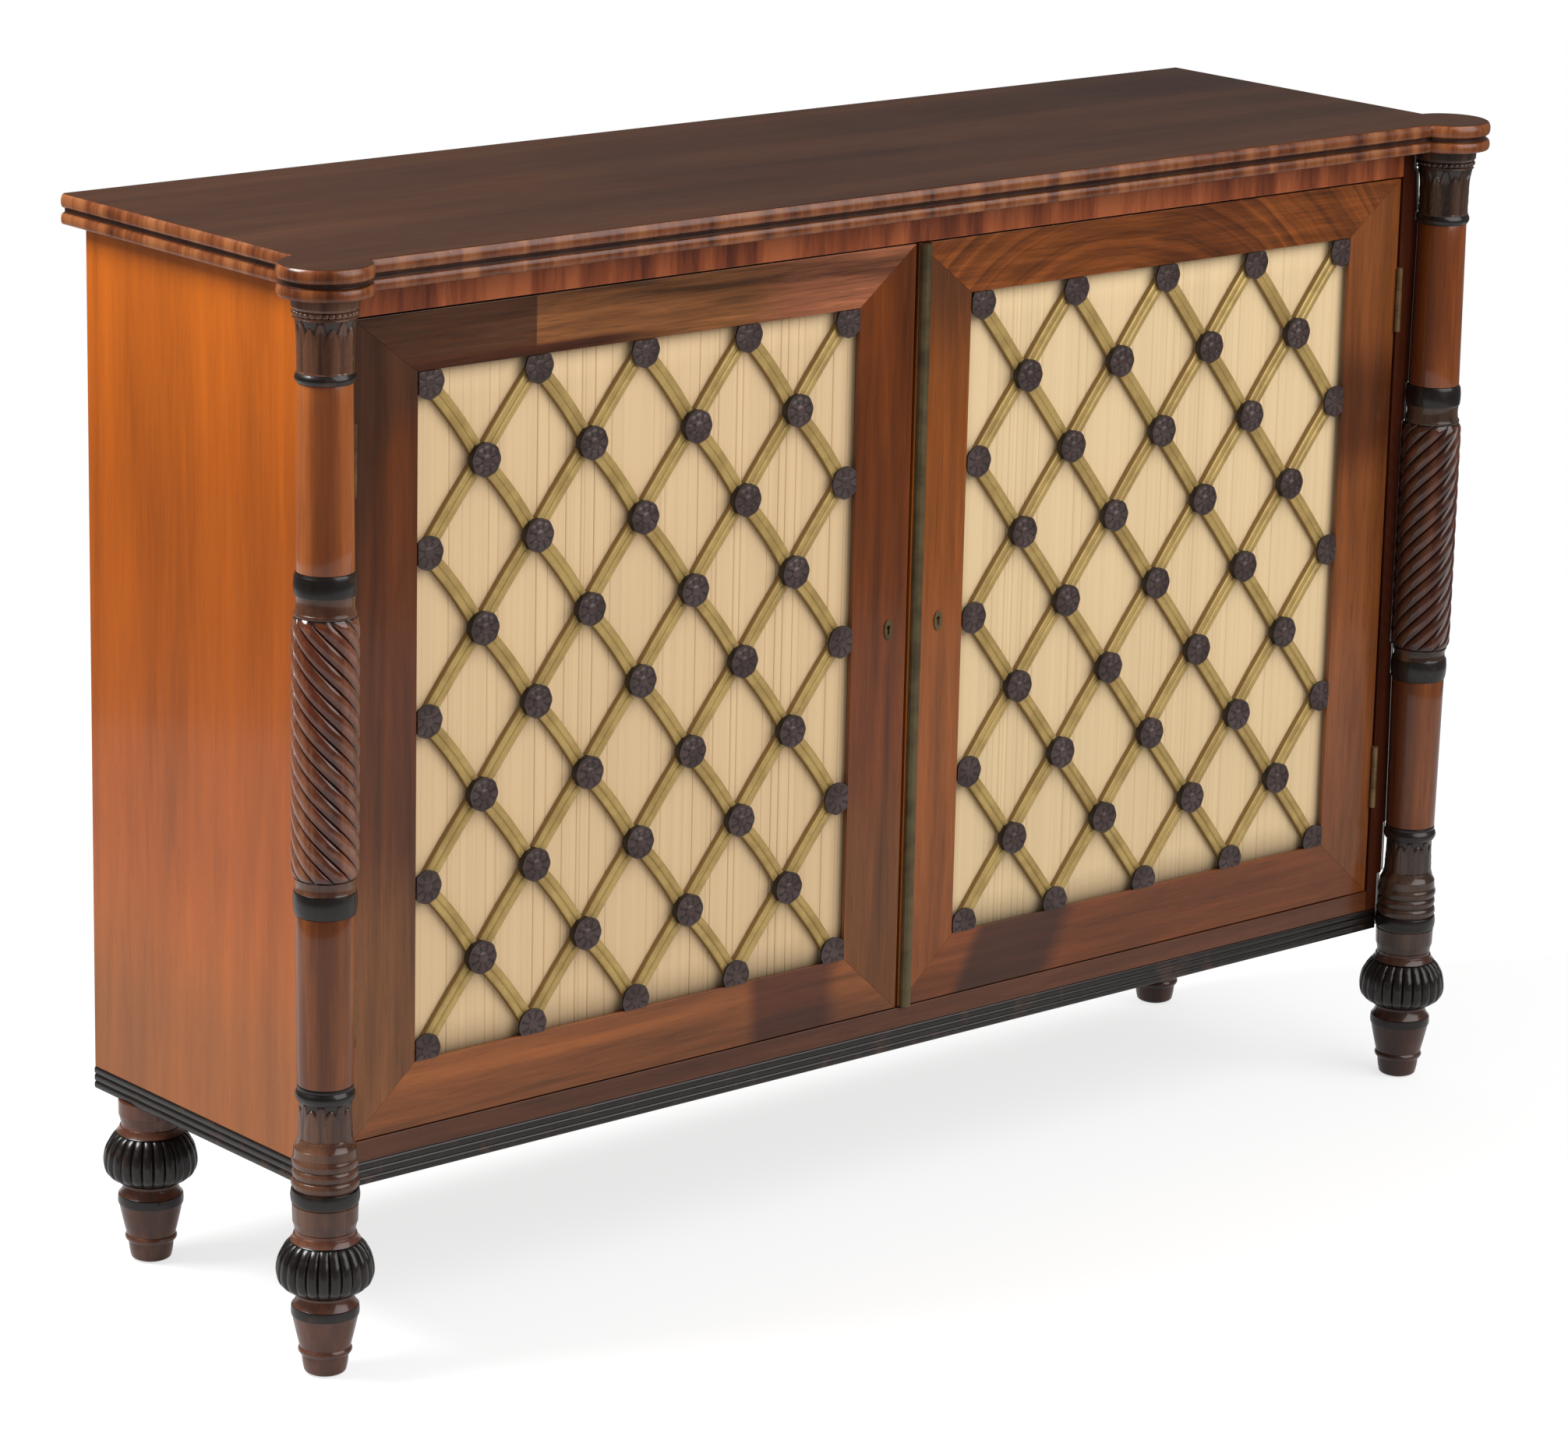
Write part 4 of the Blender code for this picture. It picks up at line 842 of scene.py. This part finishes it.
def make_reeded_middle(side, sign):
    name = f"reeded_column_{side}"
    low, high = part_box(name)
    length = high.z - low.z
    rod = moulding((REEDED_RADIUS, REEDED_RADIUS, length / MM, 0))
    bm = turned(divided(rod, 0.0020), REED_COUNT * 16)
    carve(bm, reeds(REED_COUNT, REED_DEPTH, 0.001, length - 0.001, 0.006), REED_DEPTH)
    twist(bm, sign * math.tau / REED_LEAD)
    stand(name, bm, [reeded_woods[side]])


def make_column_base(side):
    bm = turned(divided(eased(moulding(*BASE)), 0.0012), 128)
    carve(bm, leaves(LEAF_COUNT, 0.0765, 0.1078, 0.0013), 0.0013)
    bands(bm, BASE_BANDS)
    stand(f"column_base_{side}", bm, [carved_woods[side], ebonised])


def make_capital(side):
    foliage = leaves(LEAF_COUNT, 0.0085, 0.0500, 0.0016)
    beading = within(0.0520, 0.0570, reeds(BEAD_COUNT, 0.0012, 0.0519, 0.0571, 0.002))
    bm = turned(divided(eased(moulding(*CAPITAL)), 0.0012), 180)
    carve(bm, lambda angle, height: foliage(angle, height) + beading(angle, height), 0.0018)
    bands(bm, CAPITAL_BANDS)
    stand(f"capital_{side}", bm, [carved_woods[side], ebonised])


# The top

TOP_SIDE = 0.0157  # overhang past the side panels
TOP_FRONT = 0.031  # overhang past the doors' faces
TOP_CREASE = 22
CORNER_STEPS = 44
QUIRK = (8.0, 14.0)  # in mm, the heights of the quirk between the edge's two reeds
QUIRK_DEPTH = 3.6
# The edge's section, as (distance in, height) in mm from the foot: two reeds with a quirk between
TOP_EDGE = (
    (1.6, 0.0), (0.9, 0.5), (0.2, 2.2), (0.0, 4.4), (0.2, 6.6), (0.9, 8.4),
    (2.2, 9.3), (3.6, 9.8), (3.8, 11.2), (3.6, 12.8), (2.2, 13.3), (0.9, 14.4),
    (0.2, 16.4), (0.0, 18.8), (0.3, 21.2), (1.0, 23.2), (2.0, 24.4), (3.3, 25.0),
)


def plan_of_top(inset):
    """The outline of the top, its front and sides drawn in by inset. The back edge stays."""
    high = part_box("top_board")[1]
    column_x, column_y, _ = on_axis("upper_shaft_right")
    radius = high.x - column_x - inset
    case_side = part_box("side_panel_right")[1].x
    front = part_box("hinge_stile_left")[0].y - TOP_FRONT + inset - column_y
    side = case_side + TOP_SIDE - inset - column_x
    start = math.pi + math.asin(-front / radius)
    end = math.tau + math.acos(side / radius)
    right = []
    for i in range(CORNER_STEPS + 1):
        angle = start + (end - start) * i / CORNER_STEPS
        right.append((column_x + radius * math.cos(angle), column_y + radius * math.sin(angle)))
    right.append((column_x + side, high.y))
    return right + [(-x, y) for x, y in reversed(right)]


def make_top():
    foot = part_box("top_board")[0].z
    bm = bmesh.new()
    layer = bm.verts.layers.float.new(HOLLOW_LAYER)
    loops = []
    for inset, height in TOP_EDGE:
        ring = [bm.verts.new((x, y, foot + height * MM)) for x, y in plan_of_top(inset * MM)]
        for vert in ring:
            # The quirk's depth sets how much dirt and painted shade its finish lays there.
            vert[layer] = min(1.0, inset / QUIRK_DEPTH) if QUIRK[0] < height < QUIRK[1] else 0.0
        loops.append([bm.edges.new(pair) for pair in zip(ring, ring[1:] + ring[:1])])
    for lower, upper in zip(loops, loops[1:]):
        bmesh.ops.bridge_loops(bm, edges=lower + upper)
    bmesh.ops.contextual_create(bm, geom=loops[0])
    bmesh.ops.contextual_create(bm, geom=loops[-1])
    bmesh.ops.recalc_face_normals(bm, faces=bm.faces)
    for face in bm.faces:
        face.material_index = 0 if abs(face.normal.z) > 0.9 else 1
    bmesh.ops.triangulate(bm, faces=[f for f in bm.faces if len(f.verts) > 4])
    shown("top_reeded", bm, [top_wood, edge_wood], "cabinet", ["top_board"], TOP_CREASE)


# The case

BOARD_CREASE = 15
BASE_THICKNESS = 30.0  # in mm, of the base moulding
BASE_REED_COUNT = 3
BASE_REED_DEPTH = 1.8  # in mm
BASE_SCOOP_RADIUS = 0.0284
MITRE_GAP = 0.0002
OUTER_EDGE = 0.5  # in radians, the least turn of an edge that is rounded off
# A post's scoop follows its column: a piece, then in mm two heights from its foot and two radii
POST_SCOOPS = (
    ("column_base", -0.2, 73.0, 28.4, 28.4),
    ("column_base", 72.8, 121.5, 24.8, 24.8),
    ("lower_shaft", -0.2, 140.2, 22.9, 24.3),
    ("lower_ring", -0.2, 29.7, 25.8, 25.8),
    ("reeded_column", -0.2, 210.7, 27.4, 27.4),
    ("upper_ring", -0.2, 34.7, 25.3, 25.3),
    ("upper_shaft", -0.2, 148.0, 23.4, 22.1),
    ("capital", -0.2, 8.4, 24.5, 24.5),
    ("capital", 8.2, 46.0, 23.3, 25.4),
    ("capital", 45.8, 67.6, 28.0, 28.0),
)


def copy_of(node):
    """A node's solid as a bmesh of whole faces."""
    bm = bmesh.new()
    bm.from_mesh(frame["nodes"][node].data)
    bmesh.ops.remove_doubles(bm, verts=bm.verts, dist=MERGE)
    bmesh.ops.dissolve_limit(bm, angle_limit=math.radians(1), verts=bm.verts, edges=bm.edges)
    return bm


def board(node, finish, ease, along=None):
    """A board of the case or of a door, its outer edges rounded off by ease in mm.

    Where an axis is given, only the edges that run along it are rounded.
    """
    bm = copy_of(node)
    edges = []
    for edge in bm.edges:
        if not edge.is_manifold or edge.calc_face_angle_signed() < OUTER_EDGE:
            continue
        run = (edge.verts[1].co - edge.verts[0].co).normalized()
        if along is None or abs(run["xyz".index(along)]) > 0.9:
            edges.append(edge)
    bmesh.ops.bevel(
        bm,
        geom=edges,
        offset=ease * MM,
        offset_type="OFFSET",
        affect="EDGES",
        segments=2,
        profile=0.5,
        clamp_overlap=True,
        material=-1,
    )
    return shown(node + "_board", bm, [finish], BODY_OF[node], [node], BOARD_CREASE)


def reeded_strip(runs_along, length, height):
    """A length of the base moulding, with round reeds on its face."""
    pitch = height / BASE_REED_COUNT
    points = [(BASE_THICKNESS, 0.0)]
    for reed in range(BASE_REED_COUNT):
        for i in range(9):
            angle = math.pi * i / 8
            depth = BASE_REED_DEPTH * (1 - math.sin(angle) ** 0.7)
            points.append((depth, pitch * (reed + 0.5 - 0.5 * math.cos(angle))))
    points.append((BASE_THICKNESS, height))
    bm = bmesh.new()
    layer = bm.verts.layers.float.new(HOLLOW_LAYER)
    section = []
    for depth, z in points:
        at = (0, depth * MM, z * MM) if runs_along == "x" else (depth * MM, 0, z * MM)
        section.append(bm.verts.new(at))
        section[-1][layer] = min(1.0, depth / BASE_REED_DEPTH)
    pushed(bm, bm.faces.new(section), (length, 0, 0) if runs_along == "x" else (0, length, 0))
    return bm


def cut_off(bm, point, away):
    """Cuts away what lies on the far side of the point, and closes the cut."""
    geometry = bm.verts[:] + bm.edges[:] + bm.faces[:]
    result = bmesh.ops.bisect_plane(
        bm, geom=geometry, plane_co=point, plane_no=away, clear_outer=True
    )
    edges = [g for g in result["geom_cut"] if isinstance(g, bmesh.types.BMEdge)]
    if edges:
        bmesh.ops.contextual_create(bm, geom=edges)


def scooped(bm, scoops):
    """The piece with round upright scoops taken out of it.

    A scoop is (x, y, foot, head, radius at its foot, radius at its head), and scoops may overlap.
    """
    gouge = bmesh.new()
    for x, y, foot, head, low_radius, high_radius in scoops:
        bmesh.ops.create_cone(
            gouge,
            cap_ends=True,
            segments=96,
            radius1=low_radius,
            radius2=high_radius,
            depth=head - foot,
            matrix=Matrix.Translation((x, y, (foot + head) / 2)),
        )
    pieces = []
    for part in (bm, gouge):
        bmesh.ops.recalc_face_normals(part, faces=part.faces)
        pieces.append(added("part", mesh_from(part, "part")))
    scoop = pieces[0].modifiers.new("scoop", "BOOLEAN")
    scoop.operation = "DIFFERENCE"
    scoop.object = pieces[1]
    scoop.use_self = True
    result = bmesh.new()
    result.from_object(pieces[0], bpy.context.evaluated_depsgraph_get())
    for piece in pieces:
        mesh = piece.data
        bpy.data.objects.remove(piece)
        bpy.data.meshes.remove(mesh)
    return result


def make_base():
    low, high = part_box("base_moulding_front")
    _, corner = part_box("base_moulding_right")
    half, back = corner.x, corner.y
    height = (high.z - low.z) / MM
    scoops = []
    for side, _ in SIDES:
        x, y, _ = on_axis(f"upper_shaft_{side}")
        scoops.append((x, y, 0, 0.5, BASE_SCOOP_RADIUS, BASE_SCOOP_RADIUS))
    bm = reeded_strip("x", 2 * half, height)
    move(bm, (-half, low.y, low.z))
    for _, sign in SIDES:
        cut_off(bm, (sign * (half - MITRE_GAP), low.y, 0), (sign, 1, 0))
    bm = scooped(bm, scoops)
    shown("base_reeds_front", bm, [ebonised], "cabinet", ["base_moulding_front"])
    for side, sign in SIDES:
        bm = reeded_strip("y", back - low.y, height)
        if sign > 0:
            bmesh.ops.scale(bm, vec=(-1, 1, 1), verts=bm.verts)
        move(bm, (sign * half, low.y, low.z))
        cut_off(bm, (sign * half, low.y + MITRE_GAP, 0), (-sign, -1, 0))
        bm = scooped(bm, scoops)
        name = f"base_moulding_{side}"
        shown(f"base_reeds_{side}", bm, [ebonised], "cabinet", [name])


def make_corner_post(side):
    """The post behind a column, scooped out close to it so that no light shows between the two."""
    name = f"corner_post_{side}"
    low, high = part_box(name)
    bm = bmesh.new()
    size = Matrix.Diagonal((*(high - low), 1))
    bmesh.ops.create_cube(bm, size=1, matrix=Matrix.Translation((low + high) / 2) @ size)
    scoops = []
    for part, *sizes in POST_SCOOPS:
        x, y, foot = on_axis(f"{part}_{side}")
        start, end, low_radius, high_radius = (size * MM for size in sizes)
        scoops.append((x, y, foot + start, foot + end, low_radius, high_radius))
    bm = scooped(bm, scoops)
    shown(name + "_scooped", bm, [shaded_post_wood], "cabinet", [name], BOARD_CREASE)


def make_case():
    for side, _ in SIDES:
        board(f"side_panel_{side}", side_wood, 0.5, "z")
        make_corner_post(side)
    board("frieze_rail", frieze_wood, 0.5)
    board("bottom_board", rail_wood, 0.5)
    for node, ease in (("back_panel", 0.1), ("shelf", 0.6), ("base_rail_back", 0.6)):
        board(node, inside_wood, ease)


# The doors

CELLS = 4
# How far the outer rosettes' middles are in from left, right, foot and head
EDGE_NODE = {"left": (0.0108, 0.0118, 0.0078, 0.0093), "right": (0.0131, 0.0095, 0.0068, 0.0103)}
# How far the rising and the falling strips bow between rosettes
RISING_BOW = 0.0008
FALLING_BOW = {"left": 0.0024, "right": 0.0009}
# Where on Y the strips' and the rosettes' sections start
STRIP_BACK = -0.1334
ROSETTE_BACK = -0.1396
ROSETTE_CLEARANCE = 0.0003  # between the outer rosettes and the frame
PETAL_COUNT = 8
# Half sections of a rosette, as (radius, forward) in mm: a tall one, and a low one for the edges
TALL_ROSETTE = (
    (0.0, -2.4), (13.4, -2.4), (13.3, 1.2), (12.9, 2.6), (13.6, 3.8), (14.0, 4.4),
    (13.8, 5.0), (12.8, 5.2), (12.2, 5.0), (11.4, 5.2), (10.2, 5.8), (8.6, 6.1),
    (6.8, 6.0), (5.6, 5.6), (5.0, 5.7), (4.0, 6.4), (2.4, 6.8), (0.0, 6.9),
)
LOW_ROSETTE = tuple((radius, max(0.0, forward) * 0.45) for radius, forward in TALL_ROSETTE)
FACE_POINT = 8  # in either section, the bottom of the groove round the petals
# In mm from a rosette's middle: its petals, the grooves beside them, and where the rim's lobes
# start and its edge turns back
PETALS = (5.3, 11.9)
GROOVES = ((4.8, 5.2), (12.0, 12.5))
LOBES = 11.0
RIM = 13.7
SILK_GRID = (1050, 16)
SILK_SEED = {"left": 11, "right": 23}
SILK_GAP = 0.0005  # from the front of the solid to the cloth
SILK_THICKNESS = 0.0003
TUCK_SPACING = (0.003, 0.012)
TUCK_WIDTH = 0.0010
TUCK_DEPTH = 0.0006


def make_frames():
    for name, wood in door_woods.items():
        board(name, wood, 0.3, grain_of(name))


def opening(side):
    """The lowest and highest corners of the hole in a door's frame, as (x, z)."""
    stiles = [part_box(f"{part}_stile_{side}") for part in ("hinge", "meeting")]
    (_, left), (right, _) = sorted(stiles, key=lambda box: box[0].x)
    foot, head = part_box(f"bottom_rail_{side}")[1].z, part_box(f"top_rail_{side}")[0].z
    return (left.x, foot), (right.x, head)


def rosette(profile):
    """A cast rosette seen from +Z: petals round a domed boss, inside a lobed rim."""
    bm = turned([(r * MM, z * MM) for r, z in profile], 48)
    layer = bm.verts.layers.float.new(HOLLOW_LAYER)
    face = profile[FACE_POINT][1] * MM
    for vert in bm.verts:
        radius = math.hypot(vert.co.x, vert.co.y) / MM
        petal = math.cos(PETAL_COUNT * math.atan2(vert.co.y, vert.co.x))
        if vert.co.z < face * 0.85:
            vert[layer] = 1.0
        elif PETALS[0] < radius < PETALS[1]:
            vert[layer] = max(0.0, 0.38 - 0.45 * petal)
            vert.co.z -= vert[layer] * 0.5 * MM
        elif radius > RIM or any(inner < radius < outer for inner, outer in GROOVES):
            vert[layer] = 0.8
        if radius > LOBES:
            grow = 1 + 0.018 * petal
            vert.co.x *= grow
            vert.co.y *= grow
    return bm


def strip_section():
    """A trellis strip's section, as (across, forward, how hollow it looks) in mm.

    It has steep sides, and two reeds with a quirk between.
    """
    points = [(-6.5, 0.0, 1.0), (-6.4, 3.9, 1.0)]
    for centre in (-3.2, 3.2):
        for step in range(7):
            turn = math.pi * step / 6
            shade = 0.7 if step in (0, 6) else 0.0
            points.append((centre - 3.15 * math.cos(turn), 4.1 + 1.1 * math.sin(turn), shade))
    return points + [(6.4, 3.9, 1.0), (6.5, 0.0, 1.0)]


def strip(start, end, halves, bow):
    """A reeded strip, in half cells that bow sideways between the rosettes."""
    bm = bmesh.new()
    layer = bm.verts.layers.float.new(HOLLOW_LAYER)
    run = end - start
    across = Vector((run.z, 0, -run.x)).normalized()
    if across.z < 0:
        across = -across
    ring = []
    for wide, forward, shade in strip_section():
        ring.append(bm.verts.new(start + across * wide * MM - Vector((0, forward * MM, 0))))
        ring[-1][layer] = shade
    face = bm.faces.new(ring)
    steps = 8 * halves
    before = 0.0
    for i in range(1, steps + 1):
        rise = bow * abs(math.sin(math.pi * halves * i / steps))
        end_face = pushed(bm, face, run / steps + across * (rise - before))
        before = rise
        if i > 1:
            bmesh.ops.delete(bm, geom=[face], context="FACES_ONLY")
        face = end_face
    bmesh.ops.recalc_face_normals(bm, faces=bm.faces)
    return bm


def gather(whole, part):
    """Adds one bmesh to another."""
    mesh = mesh_from(part, "part")
    whole.from_mesh(mesh)
    bpy.data.meshes.remove(mesh)


def make_lattice(side):
    (left, foot), (right, head) = opening(side)
    in_left, in_right, in_foot, in_head = EDGE_NODE[side]
    cell_x = (right - left - in_left - in_right) / CELLS
    cell_z = (head - foot - in_foot - in_head) / CELLS

    def node(column, row):
        return Vector((left + in_left + column * cell_x, STRIP_BACK, foot + in_foot + row * cell_z))

    strips = bmesh.new()
    strips.verts.layers.float.new(HOLLOW_LAYER)
    for offset in range(1 - CELLS, CELLS):
        first, last = max(0, offset), min(CELLS, CELLS + offset)
        halves = 2 * (last - first)
        rising = node(first, first - offset), node(last, last - offset)
        falling = node(first, CELLS - first + offset), node(last, CELLS - last + offset)
        gather(strips, strip(*rising, halves, RISING_BOW))
        gather(strips, strip(*falling, halves, FALLING_BOW[side]))
    body = f"door_{side}"
    shown(f"trellis_strips_{side}", strips, [brass], body, [f"lattice_{side}"])

    rosettes = bmesh.new()
    rosettes.verts.layers.float.new(HOLLOW_LAYER)
    corners = [(i, j) for i in range(CELLS + 1) for j in range(CELLS + 1)]
    middles = [(i + 0.5, j + 0.5) for i in range(CELLS) for j in range(CELLS)]
    chance = random.Random(5)
    for column, row in corners + middles:
        inner = 0 < column < CELLS and 0 < row < CELLS
        one = rosette(TALL_ROSETTE if inner else LOW_ROSETTE)
        facing = Matrix.Rotation(math.pi / 2, 4, "X")
        turn = facing @ Matrix.Rotation(chance.uniform(-0.06, 0.06), 4, "Z")
        bmesh.ops.transform(one, matrix=turn, verts=one.verts)
        at = node(column, row)
        at.y = ROSETTE_BACK
        move(one, at)
        if not inner:
            cut_off(one, (left + ROSETTE_CLEARANCE, 0, 0), (-1, 0, 0))
            cut_off(one, (right - ROSETTE_CLEARANCE, 0, 0), (1, 0, 0))
            cut_off(one, (0, 0, foot + ROSETTE_CLEARANCE), (0, 0, -1))
            cut_off(one, (0, 0, head - ROSETTE_CLEARANCE), (0, 0, 1))
        gather(rosettes, one)
    shown(f"rosettes_{side}", rosettes, [bronze], body)


def make_silk(side):
    """A curtain in fine tucks, pinned in the rebate behind the trellis."""
    low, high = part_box(f"silk_{side}")
    width, height = high.x - low.x, high.z - low.z
    bm = bmesh.new()
    bmesh.ops.create_grid(bm, x_segments=SILK_GRID[0], y_segments=SILK_GRID[1], size=0.5)
    layer = bm.verts.layers.float.new(HOLLOW_LAYER)
    chance = random.Random(SILK_SEED[side])
    tucks = [0.004]
    while tucks[-1] < width:
        tucks.append(tucks[-1] + chance.uniform(*TUCK_SPACING))
    depths = [chance.uniform(0.25, 1.0) ** 1.5 for _ in tucks]
    face = low.y + SILK_GAP
    for vert in bm.verts:
        across, up = (vert.co.x + 0.5) * width, vert.co.y + 0.5
        at = across + 0.0007 * noise.noise(Vector((across * 30, up * 2.0, 0)))
        after = min(len(tucks) - 1, max(1, bisect.bisect(tucks, at)))
        nearest = min((after - 1, after), key=lambda i: abs(tucks[i] - at))
        fold = max(0.0, 1 - abs(tucks[nearest] - at) / TUCK_WIDTH) * depths[nearest]
        # The fold's depth also sets how much painted shade the silk's finish lays in the tuck.
        vert[layer] = fold
        wave = 0.0003 * noise.noise(Vector((across * 70, up * 1.2, 5)))
        vert.co = (low.x + across, face + wave + TUCK_DEPTH * fold, low.z + up * height)
    stretch = sum(f.calc_area() for f in bm.faces) / height
    body = f"door_{side}"
    piece = shown(f"silk_curtain_{side}", bm, [silks[side]], body, [f"silk_{side}"], 180)
    cloth = piece.modifiers.new("thickness", "SOLIDIFY")
    cloth.thickness = SILK_THICKNESS
    cloth.offset = 0.0


def make_brass():
    """Bead, keyhole plates, lock, bolts and hinges."""
    board("astragal_right", dark_brass, 0.3, "z")
    for side, _ in SIDES:
        board(f"escutcheon_{side}", dark_brass, 0.2)
        for level in ("upper", "lower"):
            for leaf in ("post", "door"):
                board(f"hinge_{leaf}_leaf_{side}_{level}", hinge_brass, 0.1)
    for node in ("lock_case", "lock_bolt"):
        board(node, brass, 0.3)
    for level in ("upper", "lower"):
        board(f"door_bolt_plate_{level}", brass, 0.2)
        board(f"door_bolt_{level}", brass, 0.2)


# The studio

ROOM_LIGHT = 0.48
ROOM_IN_POLISH = 0.13  # what the polish shows of the room round the paper
PAPER_SEEN = 0.72  # how bright the paper looks by itself, to the camera
PAPER_IN_POLISH = 0.26  # and in the polish
PAPER_RADIUS = 2.2
LAMP_AIM = Vector((0, 0, 0.45))


def softbox(name, azimuth, elevation, distance, size, power):
    """A square lamp aimed at the cabinet. Azimuth 0 is in front of it, and rises to its right."""
    turn, tilt = math.radians(azimuth), math.radians(elevation)
    level = math.cos(tilt)
    away = Vector((math.sin(turn) * level, -math.cos(turn) * level, math.sin(tilt)))
    light = bpy.data.lights.new(name, "AREA")
    light.size = size
    light.energy = power
    lamp = added(name, light)
    lamp.location = LAMP_AIM + away * distance
    lamp.rotation_euler = away.to_track_quat("Z", "Y").to_euler()


def make_room():
    """A white surround to the camera, and a dimmer one to the cabinet and to its polish."""
    world = bpy.data.worlds.new("studio")
    world.use_nodes = True
    bpy.context.scene.world = world
    room = Graph(world.node_tree)
    camera, through, glossy = (
        room.node("ShaderNodeLightPath", output=f"Is {kind} Ray")
        for kind in ("Camera", "Transmission", "Glossy")
    )
    seen = camera.math("MAXIMUM", camera, through)
    inputs = {"Value": seen, "To Min": ROOM_LIGHT, "To Max": 1.0}
    strength = room.node("ShaderNodeMapRange", {}, inputs)
    settings = {"operation": "MULTIPLY_ADD"}
    inputs = {0: glossy, 1: ROOM_IN_POLISH - ROOM_LIGHT, 2: strength}
    background = room.tree.nodes["Background"]
    room.feed(background.inputs["Strength"], room.node("ShaderNodeMath", settings, inputs))
    room.feed(background.inputs["Color"], (1, 1, 1))


def make_floor():
    """A round of white paper under the cabinet."""
    bm = bmesh.new()
    bmesh.ops.create_circle(bm, cap_ends=True, segments=96, radius=PAPER_RADIUS)
    floor = added("floor", mesh_from(bm, "floor"))
    f = Finish("white_paper")
    seen = f.node("ShaderNodeLightPath", output="Is Camera Ray")
    glossy = f.node("ShaderNodeLightPath", output="Is Glossy Ray")
    f.done(
        Base_Color=f.mix(f.noise(f.place(), 300.0, 2.0), (0.34, 0.34, 0.34), (0.36, 0.36, 0.36)),
        Roughness=0.9,
        Specular_IOR_Level=0.1,
        Emission_Color=(1.0, 1.0, 1.0),
        Emission_Strength=seen * PAPER_SEEN + glossy * PAPER_IN_POLISH,
    )
    floor.data.materials.append(f.material)


def make_camera():
    camera = added("camera", bpy.data.cameras.new("camera"))
    camera.location = (-3.0545, -3.5642, 1.6953)
    camera.rotation_euler = [math.radians(a) for a in (74.6104, -1.2832, -40.2029)]
    camera.data.lens = 128.511
    camera.data.shift_x = -0.00559
    camera.data.shift_y = 0.00157
    camera.data.clip_end = 100
    bpy.context.scene.camera = camera


bpy.context.scene.view_settings.view_transform = "Standard"
make_room()
make_floor()
softbox("window", azimuth=-112, elevation=46, distance=3.0, size=1.2, power=88)
softbox("key", azimuth=22, elevation=36, distance=3.5, size=3.3, power=84)
make_camera()
make_top()
for side, sign in SIDES:
    make_foot(f"foot_front_{side}", side, ())
    make_foot(f"foot_back_{side}", side, BACK_COLLAR)
    make_column_base(side)
    make_shafts(side)
    make_rings(side)
    make_reeded_middle(side, sign)
    make_capital(side)
    make_lattice(side)
    make_silk(side)
make_case()
make_base()
make_frames()
make_brass()
